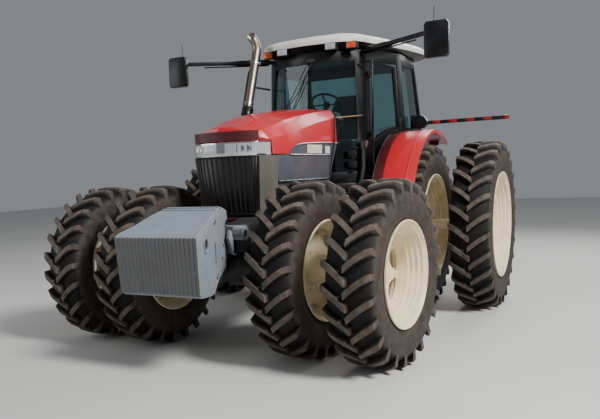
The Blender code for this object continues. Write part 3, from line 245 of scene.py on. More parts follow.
def dress(obj, material):
    """Leaves one material on a piece whose shape is right."""
    obj.data.materials.clear()
    obj.data.materials.append(material)


def reworked(node, material, bevel=0.004, segments=2, angle=30.0, smooth=40.0):
    """A CAD node's rounded copy, which stands for it."""
    return finish(refined(f"{node}_finished", node, bevel, segments, angle), material, node, True, smooth)


def disc(name, centre, radius, depth, axis, sides=24, bevel=0.003, segments=2):
    """A turned disc or short bar about one axis, with a broken edge."""
    turns = {"X": UPRIGHT, "Y": (math.radians(90), 0, 0), "Z": (0, 0, 0)}
    deselect()
    bpy.ops.mesh.primitive_cylinder_add(vertices=sides, radius=radius, depth=depth, location=centre,
            rotation=turns[axis])
    obj = named(name)
    return apply_bevel(obj, bevel, segments) if bevel else obj


def bolt(name, radius=0.012, height=0.012):
    """A hexagon head on its washer, standing along X at the origin."""
    head = disc(name, (height / 2, 0, 0), radius, height, "X", 6, 0.0012, 1)
    washer = disc(f"{name}_washer", (0.0015, 0, 0), radius * 1.35, 0.003, "X", 12, 0.0)
    return joined(name, [head, washer])


def skin(name, columns, rows, place, thickness):
    """A pressed sheet: a grid whose points are placed by their share across and along, then thickened."""
    deselect()
    bpy.ops.mesh.primitive_grid_add(x_subdivisions=columns, y_subdivisions=rows, size=1.0)
    obj = named(name)
    for vertex in obj.data.vertices:
        vertex.co = place(round((vertex.co.x + 0.5) * columns), round((vertex.co.y + 0.5) * rows))
    return outward(modified(obj, "SOLIDIFY", thickness=thickness, offset=0.0))


# --- Material helpers -----------------------------------------------------------


def linear(code):
    """An sRGB hex colour as linear red, green, blue and alpha."""
    values = [int(code[i:i + 2], 16) / 255 for i in (1, 3, 5)]
    return [v / 12.92 if v <= 0.04045 else ((v + 0.055) / 1.055) ** 2.4 for v in values] + [1.0]


def add(tree, kind, settings=None, inputs=None):
    """Adds a shader node, sets its attributes, and sets or links its sockets."""
    made = tree.nodes.new(f"ShaderNode{kind}")
    for key, value in (settings or {}).items():
        setattr(made, key, value)
    for key, value in (inputs or {}).items():
        if isinstance(value, bpy.types.NodeSocket):
            tree.links.new(value, made.inputs[key])
        else:
            made.inputs[key].default_value = value
    return made


def surface(name, colour, shine):
    """A new material: its node tree, its shader and the object coordinates."""
    material = bpy.data.materials.new(name)
    material.use_nodes = True
    tree = material.node_tree
    shader = tree.nodes["Principled BSDF"]
    shader.inputs["Base Color"].default_value = linear(colour)
    for key, value in shine.items():
        shader.inputs[key].default_value = value
    place = add(tree, "TexCoord").outputs["Object"]
    return material, tree, shader, place


def worn(tree, shader, place, clean, dirty, size_mm, amount, rough, bump_mm=0.0, grain_mm=1.0):
    """Patches of dirt or wear of a given size over a clean colour, which also set the gloss, with a fine
    grain in height.
    """
    patches = add(tree, "TexNoise", inputs={"Vector": place, "Scale": 1000 / size_mm, "Detail": 6.0,
            "Roughness": 0.6}).outputs["Fac"]
    cover = add(tree, "MapRange", inputs={"Value": patches, "From Min": 0.45, "From Max": 0.75,
            "To Max": amount}).outputs["Result"]
    colour = add(tree, "Mix", {"data_type": "RGBA"}, {0: cover, 6: clean, 7: linear(dirty)}).outputs[2]
    tree.links.new(colour, shader.inputs["Base Color"])
    grain = add(tree, "TexNoise", inputs={"Vector": place, "Scale": 1000 / grain_mm,
            "Detail": 3.0}).outputs["Fac"]
    gloss = add(tree, "MapRange", inputs={"Value": patches, "From Min": 0.35, "From Max": 0.7,
            "To Min": rough[0], "To Max": rough[1]}).outputs["Result"]
    tree.links.new(gloss, shader.inputs["Roughness"])
    if bump_mm:
        relief = add(tree, "Bump", inputs={"Height": grain, "Strength": 0.6, "Distance": bump_mm / 1000})
        tree.links.new(relief.outputs["Normal"], shader.inputs["Normal"])
    return colour


def weathered(name, base, clean, dirty, size_mm, amount, rough, bump_mm=0.0, grain_mm=1.0, coat=None):
    """One coat or metal with its dirt or wear over it; coat gives the clear coat's weight and roughness."""
    shine = dict(zip(("Coat Weight", "Coat Roughness"), coat or ()))
    material, tree, shader, place = surface(name, base, shine)
    worn(tree, shader, place, linear(clean), dirty, size_mm, amount, rough, bump_mm, grain_mm)
    return material


def fender_enamel_and_painted_shade():
    """The same red enamel; the strip beside the cab is a dull maroon, painted shade standing for the red in
    the cab's shade.
    """
    material, tree, shader, place = surface("fender_enamel_and_painted_shade", "#C41824",
            {"Coat Weight": 0.35, "Coat Roughness": 0.15})
    across = add(tree, "SeparateXYZ", inputs={"Vector": place}).outputs["X"]
    out = add(tree, "Math", {"operation": "ABSOLUTE"}, {0: across}).outputs["Value"]
    # Painted shade: inboard of 0.845 m from the middle the red fades to dark maroon, standing for the shade
    # beside the cab.
    inner = add(tree, "MapRange", inputs={"Value": out, "From Min": 0.845, "From Max": 0.862, "To Min": 1.0,
            "To Max": 0.0}).outputs["Result"]
    base = add(tree, "Mix", {"data_type": "RGBA"}, {0: inner, 6: linear("#C41824"),
            7: linear("#4A1216")}).outputs[2]
    worn(tree, shader, place, base, "#7C3A3A", 180, 0.3, (0.28, 0.5), 0.08, 5.0)
    return material


def satin_enamel(name, colour, soil):
    """Satin enamel on a pressed panel, with a film of soil in soft patches."""
    return weathered(name, colour, colour, soil, 260, 0.35, (0.36, 0.6), 0.05, 3.0, (0.15, 0.25))


def weight_enamel_and_front_shade():
    """Blue-grey enamel over rough sand-cast iron, chipped through to rust, with painted shade darkening the
    faces that look forward.
    """
    material, tree, shader, place = surface("weight_enamel_and_front_shade", "#7B848D", {})
    colour = worn(tree, shader, place, linear("#808A94"), "#666D74", 150, 0.5, (0.45, 0.7), 0.6, 6.0)
    chips = add(tree, "TexNoise", inputs={"Vector": place, "Scale": 55.0, "Detail": 4.0}).outputs["Fac"]
    rust = add(tree, "MapRange", inputs={"Value": chips, "From Min": 0.66, "From Max": 0.7}).outputs["Result"]
    # Painted shade: faces turned towards the front are darkened to a brown-grey.
    facing = add(tree, "NewGeometry").outputs["Normal"]
    ahead = add(tree, "SeparateXYZ", inputs={"Vector": facing}).outputs["Y"]
    front_shade = add(tree, "MapRange", inputs={"Value": ahead, "From Min": -0.6, "From Max": -0.93,
            "To Max": 0.8}).outputs["Result"]
    front_shaded_colour = add(tree, "Mix", {"data_type": "RGBA"}, {0: front_shade, 6: colour, 7: linear("#4C4743")}).outputs[2]
    mixed = add(tree, "Mix", {"data_type": "RGBA"}, {0: rust, 6: front_shaded_colour, 7: linear("#6B3A22")}).outputs[2]
    tree.links.new(mixed, shader.inputs["Base Color"])
    return material


def powder_coat():
    """Black powder coat on the cab's steel: satin, with a fine orange peel."""
    material = weathered("black_powder_coat", "#08090B", "#08090B", "#24221F", 300, 0.3, (0.3, 0.5), 0.06,
            2.5, (0.12, 0.2))
    material.node_tree.nodes["Principled BSDF"].inputs["Specular IOR Level"].default_value = 0.35
    return material


def black_abs():
    """Moulded black ABS with a leather-like grain about 1.5 mm across."""
    material, tree, shader, place = surface("black_abs", "#16181A", {})
    cells = add(tree, "TexVoronoi", {"feature": "F1"}, {"Vector": place, "Scale": 650.0}).outputs["Distance"]
    worn(tree, shader, place, linear("#15171A"), "#3B3A38", 200, 0.35, (0.45, 0.65))
    relief = add(tree, "Bump", inputs={"Height": cells, "Strength": 0.5, "Distance": 0.0004})
    tree.links.new(relief.outputs["Normal"], shader.inputs["Normal"])
    return material


def tyre_rubber():
    """Carbon-black tyre rubber; the lug faces are scuffed brown and dry soil stays between them."""
    material, tree, shader, place = surface("tyre_rubber", "#1A1817", {"Specular IOR Level": 0.3})
    lug = add(tree, "Attribute", {"attribute_name": "lug_face"}).outputs["Fac"]
    soil = add(tree, "TexNoise", inputs={"Vector": place, "Scale": 14.0, "Detail": 7.0,
            "Roughness": 0.65}).outputs["Fac"]
    scuff = add(tree, "MapRange", inputs={"Value": soil, "From Min": 0.32, "From Max": 0.62, "To Min": 0.35,
            "To Max": 0.9}).outputs["Result"]
    worn_faces = add(tree, "Math", {"operation": "MULTIPLY"}, {0: lug, 1: scuff}).outputs["Value"]
    dust = add(tree, "MapRange", inputs={"Value": soil, "From Min": 0.5, "From Max": 0.8,
            "To Max": 0.3}).outputs["Result"]
    body = add(tree, "Mix", {"data_type": "RGBA"}, {0: dust, 6: linear("#171514"),
            7: linear("#51463E")}).outputs[2]
    colour = add(tree, "Mix", {"data_type": "RGBA"}, {0: worn_faces, 6: body,
            7: linear("#685B52")}).outputs[2]
    tree.links.new(colour, shader.inputs["Base Color"])
    rough = add(tree, "MapRange", inputs={"Value": soil, "To Min": 0.55, "To Max": 0.9}).outputs["Result"]
    tree.links.new(rough, shader.inputs["Roughness"])
    grain = add(tree, "TexNoise", inputs={"Vector": place, "Scale": 160.0, "Detail": 4.0}).outputs["Fac"]
    relief = add(tree, "Bump", inputs={"Height": grain, "Strength": 0.5, "Distance": 0.002})
    tree.links.new(relief.outputs["Normal"], shader.inputs["Normal"])
    return material


def tinted_glass():
    """Green-blue tinted safety glass, 6 mm, with a light film of dust."""
    material, tree, shader, place = surface("tinted_glass", "#A9CDD0", {"Transmission Weight": 1.0,
            "IOR": 1.45})
    film = add(tree, "TexNoise", inputs={"Vector": place, "Scale": 5.0, "Detail": 5.0}).outputs["Fac"]
    rough = add(tree, "MapRange", inputs={"Value": film, "From Min": 0.4, "From Max": 0.8, "To Min": 0.0,
            "To Max": 0.03}).outputs["Result"]
    tree.links.new(rough, shader.inputs["Roughness"])
    return material


def lens(name, colour, clear):
    """Moulded acrylic lamp lens with fine prisms about 6 mm apart."""
    material, tree, shader, place = surface(name, colour, {"Roughness": 0.12, "Transmission Weight": clear,
            "Coat Weight": 0.6, "Coat Roughness": 0.05})
    prisms = add(tree, "TexWave", inputs={"Vector": place, "Scale": 26.0, "Distortion": 0.0}).outputs["Fac"]
    relief = add(tree, "Bump", inputs={"Height": prisms, "Strength": 0.35, "Distance": 0.001})
    tree.links.new(relief.outputs["Normal"], shader.inputs["Normal"])
    glow = add(tree, "Mix", {"data_type": "RGBA"}, {0: prisms, 6: linear(colour),
            7: [v * 0.72 for v in linear(colour)[:3]] + [1.0]}).outputs[2]
    tree.links.new(glow, shader.inputs["Base Color"])
    return material


def bare_steel(name, colour, rough):
    """Turned or drawn steel with a brushed grain and a little brown oxide."""
    material = weathered(name, colour, colour, "#6E5138", 90, 0.5, rough, 0.05, 1.5)
    material.node_tree.nodes["Principled BSDF"].inputs["Metallic"].default_value = 1.0
    return material


def seat_fabric():
    """Dark woven upholstery; threads are drawn 4 mm apart so that the weave shows."""
    material, tree, shader, place = surface("seat_fabric", "#2B2E33", {"Roughness": 0.9, "Sheen Weight": 0.4})
    warp, weft = (add(tree, "TexWave", {"bands_direction": way}, {"Vector": place,
            "Scale": 80.0}).outputs["Fac"] for way in ("X", "DIAGONAL"))
    cloth = add(tree, "Math", {"operation": "MULTIPLY"}, {0: warp, 1: weft}).outputs["Value"]
    colour = add(tree, "Mix", {"data_type": "RGBA"}, {0: cloth, 6: linear("#212429"),
            7: linear("#3A3F47")}).outputs[2]
    tree.links.new(colour, shader.inputs["Base Color"])
    relief = add(tree, "Bump", inputs={"Height": cloth, "Strength": 0.5, "Distance": 0.001})
    tree.links.new(relief.outputs["Normal"], shader.inputs["Normal"])
    return material


def hose_rubber():
    """Ribbed black rubber hose, its rings about 12 mm apart."""
    material, tree, shader, place = surface("hose_rubber", "#141414", {"Roughness": 0.6})
    rings = add(tree, "TexWave", {"bands_direction": "Z"}, {"Vector": place, "Scale": 26.0}).outputs["Fac"]
    relief = add(tree, "Bump", inputs={"Height": rings, "Strength": 0.8, "Distance": 0.003})
    tree.links.new(relief.outputs["Normal"], shader.inputs["Normal"])
    shade = add(tree, "Mix", {"data_type": "RGBA"}, {0: rings, 6: linear("#0E0E0E"),
            7: linear("#262524")}).outputs[2]
    tree.links.new(shade, shader.inputs["Base Color"])
    return material


# Sprayed two-coat enamel on pressed steel: deep and glossy, with a film of field dust.
RED = weathered("red_enamel", "#C41824", "#C41824", "#A8464A", 420, 0.22, (0.26, 0.42), 0.05, 4.0,
        (0.5, 0.12))
FENDER_RED = fender_enamel_and_painted_shade()
# Cream rim enamel over steel, with dry mud and rust in patches.
CREAM = weathered("cream_enamel", "#EBDDBB", "#EBDDBB", "#A48A62", 140, 0.4, (0.34, 0.6), 0.1, 3.0,
        (0.2, 0.3))
GREY = satin_enamel("charcoal_enamel", "#464B54", "#6A6866")
CORNER = satin_enamel("taupe_enamel", "#5E5852", "#7A7066")
# Dark maroon standing for the red enamel in shade: painted shade, with soft soil patches, on the nose face
# and the bar under the grille.
PAINTED_SHADE_MAROON = satin_enamel("painted_shade_maroon", "#470C12", "#6A2A2C")
TAN = satin_enamel("brass_passivated_steel", "#A08050", "#6E5A3E")
WEIGHT = weight_enamel_and_front_shade()
# Painted sand-cast iron: grainy, dark, with dust and old oil.
IRON = weathered("cast_iron", "#3A3B3E", "#303134", "#5A5148", 260, 0.45, (0.5, 0.8), 0.8, 5.0)
BLACK = powder_coat()
PLASTIC = black_abs()
DARK = satin_enamel("matt_black_mesh", "#0B0A0A", "#221D1A")
RUBBER = tyre_rubber()
GLASS = tinted_glass()
CLEAR = lens("clear_lens", "#E8ECEE", 0.5)
AMBER = lens("amber_lens", "#E4551E", 0.15)
RUBY = lens("red_lens", "#A81414", 0.15)
STEEL = bare_steel("ground_steel", "#B9B9B8", (0.2, 0.35))
CHROME = bare_steel("chromed_reflector", "#D8DADC", (0.08, 0.16))
BLUE_STEEL = bare_steel("bluish_bright_trim", "#A9B6C2", (0.2, 0.35))
EXHAUST = bare_steel("heated_steel", "#8C8378", (0.3, 0.5))
# White gelcoat roof cap, chalked by the sun, with dust streaks.
ROOF = weathered("white_gelcoat", "#DEDCD4", "#E2E0D8", "#A9A49A", 340, 0.5, (0.35, 0.55), 0.05, 4.0,
        (0.25, 0.3))
CLOTH = seat_fabric()
# Cream vinyl film, left blank, faintly soiled.
DECAL = weathered("blank_decal", "#D9D3C2", "#D9D3C2", "#A89C86", 60, 0.4, (0.35, 0.5), coat=(0.3,))
HOSE = hose_rubber()


# --- Wheels ---------------------------------------------------------------------


def crown_radius(size, s):
    """How far out the tread's crown stands at a distance from its middle."""
    return size["radius"] - 0.12 * max(0.0, s - 0.1) - 0.5 * max(0.0, s - 0.17)


def lug_shape(size, hand):
    """One tread bar: a grid bent from the middle of the tread out over the shoulder."""
    shares = (0.0, 0.03, 0.22, 0.42, 0.62, 0.8, 0.985, 1.0)
    across = ((-1.0, 0.0), (-0.8, 0.55), (-0.7, 1.0), (0.7, 1.0), (0.8, 0.55), (1.0, 0.0))
    deselect()
    bpy.ops.mesh.primitive_grid_add(x_subdivisions=7, y_subdivisions=5, size=1.0)
    obj = named("lug")
    radius = size["radius"]
    half = size["width"] / 2
    for vertex in obj.data.vertices:
        station = round((vertex.co.x + 0.5) * 7)
        side, rise = across[round((vertex.co.y + 0.5) * 5)]
        t = shares[station]
        s = -0.012 + t * (half + 0.005)
        swing = -(0.27 * t - 0.06 * t * t) * 0.8 / radius
        width = 0.043 - 0.003 * t
        crown = crown_radius(size, s)
        floor = radius - 0.066 - 0.5 * max(0.0, s - 0.13) - 1.5 * max(0.0, s - 0.16)
        height = floor + (crown - floor) * rise * (0.0 if station in (0, 7) else 1.0)
        angle = swing + side * width / radius
        vertex.co = (hand * s, -height * math.sin(angle), height * math.cos(angle))
    edit(obj)
    bpy.ops.mesh.select_all(action="DESELECT")
    bpy.ops.mesh.select_non_manifold()
    bpy.ops.mesh.edge_face_add()
    leave_edit()
    return outward(obj)


def tyre_master(name, size):
    """A bar-tread tyre about the X axis at the origin, with its lug faces marked for wear."""
    half = size["width"] / 2
    seat = size["seat"]
    radius = size["radius"]
    depth = radius - seat
    bead = half - 0.0425
    outer = [(bead - 0.006, seat + 0.001), (bead, seat + 0.012), (bead + 0.008, seat + 0.03),
            (bead + 0.01, seat + 0.042), (bead + 0.022, seat + 0.06), (half - 0.006, seat + 0.3 * depth),
            (half - 0.002, seat + 0.34 * depth), (half - 0.001, seat + 0.5 * depth),
            (half - 0.003, seat + 0.6 * depth), (half - 0.012, radius - 0.124),
            (half - 0.034, radius - 0.092), (half - 0.07, radius - 0.07), (0.06, radius - 0.058)]
    inner = [(-x, r) for x, r in reversed(outer)]
    carcass = spun(name, outer + inner)
    lugs = []
    pitch = math.tau / size["lugs"]
    for hand in (1, -1):
        first = lug_shape(size, hand)
        for i in range(size["lugs"]):
            turn = Matrix.Rotation(pitch * (i + (0.5 if hand < 0 else 0.0)), 4, "X")
            lugs.append(copied(first, f"{name}_lug", turn))
        bpy.data.objects.remove(first)
    tyre = joined(name, [carcass] + lugs)
    wear = tyre.data.attributes.new("lug_face", "FLOAT", "POINT")
    for vertex, value in zip(tyre.data.vertices, wear.data):
        out = math.hypot(vertex.co.y, vertex.co.z)
        on_crown = out > crown_radius(size, abs(vertex.co.x)) - 0.006
        value.value = 1.0 if on_crown else (0.45 if out < radius - 0.11 else 0.0)
    return tyre


def rim_master(name, size, dish, hub_radius):
    """A stepped steel rim with its welded, slotted disc, about X at the origin; +X is its outer side."""
    bead = size["width"] / 2 - 0.0325
    seat = size["seat"]
    lip = size["rim"]
    half = [(0.06, seat - 0.048), (0.075, seat - 0.01), (bead - 0.06, seat - 0.002),
            (bead - 0.004, seat + 0.004), (bead, lip - 0.006), (bead + 0.006, lip),
            (bead + 0.018, lip - 0.001), (bead + 0.018, lip - 0.012), (bead + 0.004, lip - 0.02),
            (bead - 0.01, seat - 0.014), (bead - 0.038, seat - 0.016), (bead - 0.05, seat - 0.032),
            (bead - 0.08, seat - 0.034), (bead - 0.092, seat - 0.05), (bead - 0.122, seat - 0.052),
            (bead - 0.134, seat - 0.066)]
    ring = spun(f"{name}_barrel", half + [(-x, r) for x, r in reversed(half)])
    edge = seat - 0.06
    deep = dish + 0.03
    web = [(deep, edge), (deep, edge - 0.03), (dish + 0.012, edge - 0.075),
            (dish + 0.004, hub_radius + 0.085), (dish + 0.02, hub_radius + 0.06), (dish + 0.02, hub_radius),
            (dish + 0.004, hub_radius), (dish + 0.004, hub_radius + 0.05), (dish - 0.012, hub_radius + 0.08),
            (dish - 0.004, edge - 0.08), (deep - 0.014, edge - 0.036), (deep - 0.014, edge)]
    plate = spun(f"{name}_disc", web)
    cutters = []
    for i in range(SLOTS):
        cutter = disc("slot_cutter", (0, 0, 0), 0.042, 0.2, "X", bevel=0.0)
        stretched = Matrix.Translation((dish, 0, edge - 0.024)) @ Matrix.Diagonal((1, 2.2, 1, 1))
        cutter.data.transform(Matrix.Rotation(math.tau * (i + 0.5) / SLOTS, 4, "X") @ stretched)
        cutters.append(cutter)
    cut(plate, cutters)
    head = bolt(f"{name}_bolt", 0.016, 0.016)
    parts = [ring, plate]
    for i in range(BOLTS):
        turn = Matrix.Rotation(math.tau * i / BOLTS, 4, "X")
        parts.append(copied(head, f"{name}_bolt_{i}", turn @ Matrix.Translation((dish + 0.01, 0, 0.174))))
    for i in range(SLOTS):
        clamp = block(f"{name}_clamp_{i}", (deep - 0.012, -0.035, edge - 0.03),
                (deep + 0.024, 0.035, edge + 0.003))
        clamp.data.transform(Matrix.Rotation(math.tau * i / SLOTS, 4, "X"))
        parts.append(clamp)
    bpy.data.objects.remove(head)
    return joined(name, parts)


def wheel_place(axle, joint_turn, pivot):
    """Moves a wheel from its own axis to its axle at rest, turned about its kingpin."""
    turn = Matrix.Rotation(joint_turn, 4, "Z")
    return Matrix.Translation(pivot) @ turn @ Matrix.Translation(Vector(axle) - Vector(pivot))


def hub_between(name, size):
    """The drum or bar that joins the two discs of a pair and ends in a flanged hub cap."""
    start = size["start"]
    near = size["inner"] + size["disc"][0]
    far = size["outer"] + size["disc"][1]
    stop = size["outer"] + size["cap"]
    profile = [(start, 0.0), (start, 0.105), (start + 0.012, 0.118), (near - 0.008, 0.118),
            (near - 0.008, 0.15), (near + 0.002, 0.15), (near + 0.034, size["bar"]),
            (far - 0.06, size["bar"]), (far - 0.03, 0.14), (far + 0.004, 0.14), (far + 0.004, 0.118),
            (stop - 0.03, 0.105), (stop - 0.018, 0.092), (stop, 0.06), (stop, 0.0)]
    return spun(name, profile, 48, closed=False)


def wheels():
    """A tyre and two rims are made for each axle and copied to both its sides."""
    axis = JOINT["front_wheels_left_spin"]["axis"]
    steer = math.atan2(axis[1], axis[0])
    for kind, size in (("front", FRONT), ("rear", REAR)):
        master = tyre_master(f"{kind}_tyre_master", size)
        rims = {place: rim_master(f"{kind}_rim_{place}", size, size["disc"][i], size["hub"])
                for i, place in enumerate(("inner", "outer"))}
        drum = hub_between(f"{kind}_drum", size)
        for side, sign in SIDES.items():
            pivot = Vector(JOINT[f"{kind}_wheels_{side}_spin"]["pos_m"])
            turn = steer if kind == "front" else 0.0
            mirror = Matrix.Diagonal((sign, 1, 1, 1))
            pieces = []
            for place in ("inner", "outer"):
                centre = Vector((sign * size[place], pivot.y, pivot.z))
                seat = wheel_place(centre, turn, pivot)
                spin = Matrix.Rotation(0.11 * (sign + 2) + (0.3 if place == "outer" else 0.0), 4, "X")
                tyre = copied(master, f"tyre_{kind}_{side}_{place}", seat @ spin)
                finish(tyre, RUBBER, f"{kind}_tyre_{side}_{place}", True, 38.0)
                pieces.append(copied(rims[place], f"{kind}_rim_{side}_{place}", seat @ mirror @ spin))
            middle = wheel_place((0.0, pivot.y, pivot.z), turn, pivot)
            pieces.append(copied(drum, f"{kind}_drum_{side}", middle @ mirror))
            finish(joined(f"rims_{kind}_{side}", pieces), CREAM, f"{kind}_rims_{side}", True, 38.0)
        for spare in [master, drum, *rims.values()]:
            bpy.data.objects.remove(spare)


# --- Front weights --------------------------------------------------------------


def weights():
    """Twenty cast plates hung side by side; the two end plates are drilled and slotted."""
    low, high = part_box("front_weights")
    outline = [(-2.75, 1.195), (-2.744, 1.13), (-2.704, 0.74), (-2.69, 0.712), (-2.655, 0.695),
            (-2.42, 0.675), (-2.33, 0.68), (-2.185, 0.787), (-1.985, 0.87), (-1.985, 1.25), (-1.9, 1.295),
            (-1.925, 1.37), (-2.085, 1.408), (-2.085, 1.38), (-2.11, 1.38), (-2.11, 1.412), (-2.135, 1.412),
            (-2.3, 1.362), (-2.53, 1.275), (-2.7, 1.225)]
    holes = ((-2.52, 1.13, 0.04), (-2.52, 1.105, 0.04), (-2.27, 1.272, 0.018), (-2.24, 1.292, 0.013),
            (-2.04, 1.06, 0.018), (-2.08, 0.95, 0.018), (-2.24, 0.8, 0.02), (-2.215, 0.825, 0.013))
    front = high[0]
    taper = 0.227
    plates = 20
    gap = 0.0045
    notch_shades = []
    for i in range(plates):
        start = -1.0 + 2.0 * i / plates
        stop = -1.0 + 2.0 * (i + 1) / plates
        thick = front * 2.0 / plates - gap
        plate = slab(f"weight_plate_{i:02d}", outline, "X", 0.0, thick, 0.0045)
        if i in (0, plates - 1):
            cut(plate, [disc("hole", (thick / 2, y, z), hole, 0.2, "X", 28, 0.0) for y, z, hole in holes],
                    use_self=True)
        for vertex in plate.data.vertices:
            share = start + (stop - start) * (vertex.co.x + gap / 2) / (thick + gap)
            vertex.co.x = share * (front - taper * (vertex.co.y - low[1]))
        finish(plate, WEIGHT, "front_weights", i == 0)
        # Painted shade: matt black blocks set into each plate's top edge stand for the shade inside its
        # notches.
        for k, (y, z) in enumerate(((-2.16, 1.4045), (-2.215, 1.3875))):
            middle = (start + stop) / 2 * (front - taper * (y - low[1]))
            notch_shades.append(block(f"slot_{i}_{k}", (middle - 0.006, y - 0.016, z - 0.012),
                    (middle + 0.006, y + 0.016, z + 0.0025), 0.002))
    finish(joined("weight_slots", notch_shades), DARK, "front_weights")
    for side, sign in SIDES.items():
        ring = spun(f"weight_hole_rim_{side}", [(0.0, 0.042), (0.006, 0.044), (0.006, 0.056), (0.0, 0.058)],
                32)
        stretched = Matrix.Diagonal((sign, 1.0, 1.25, 1.0))
        reach = front - taper * (-2.52 - low[1])
        ring.data.transform(Matrix.Translation((sign * reach, -2.52, 1.1175))
                @ Matrix.Rotation(sign * math.atan(taper), 4, "Z") @ stretched)
        outward(ring)
        finish(ring, WEIGHT, "front_weights")
        # Painted shade: a thin matt black strip on each end plate stands for the shade inside a groove.
        y = -2.27
        reach = front - taper * (y - low[1])
        groove_shade = block(f"weight_groove_{side}", (sign * reach - 0.002, y - 0.003, 0.93),
                (sign * reach + 0.002, y + 0.003, 1.11), 0.001)
        finish(groove_shade, DARK, "front_weights")


# --- Hood -----------------------------------------------------------------------

# Half of the nose in plan along the headlight band, and of the grille's foot below it.
NOSE_HIGH = [(0.0, -1.6), (0.16, -1.585), (0.29, -1.54), (0.345, -1.485), (0.385, -1.42), (0.413, -1.3625),
        (0.434, -1.2405)]
NOSE_LOW = [(0.0, -1.5), (0.145, -1.49), (0.262, -1.462), (0.305, -1.425), (0.338, -1.375), (0.365, -1.31),
        (0.385, -1.2405)]
# The hood's lower edge on its left side, from the rear over the arch to the nose: (x, y, z).
ARCH = [(0.474, 0.185, 1.981), (0.469, -0.25, 1.981), (0.464, -0.707, 1.966), (0.461, -0.86, 1.952),
        (0.459, -0.97, 1.917), (0.456, -1.02, 1.88), (0.454, -1.04, 1.856)]


def along_line(points, share):
    """The point at a share of the way along a chain of points, each step counted as one."""
    step = min(len(points) - 2, int(share * (len(points) - 1)))
    here = Vector(points[step])
    return here.lerp(Vector(points[step + 1]), share * (len(points) - 1) - step)


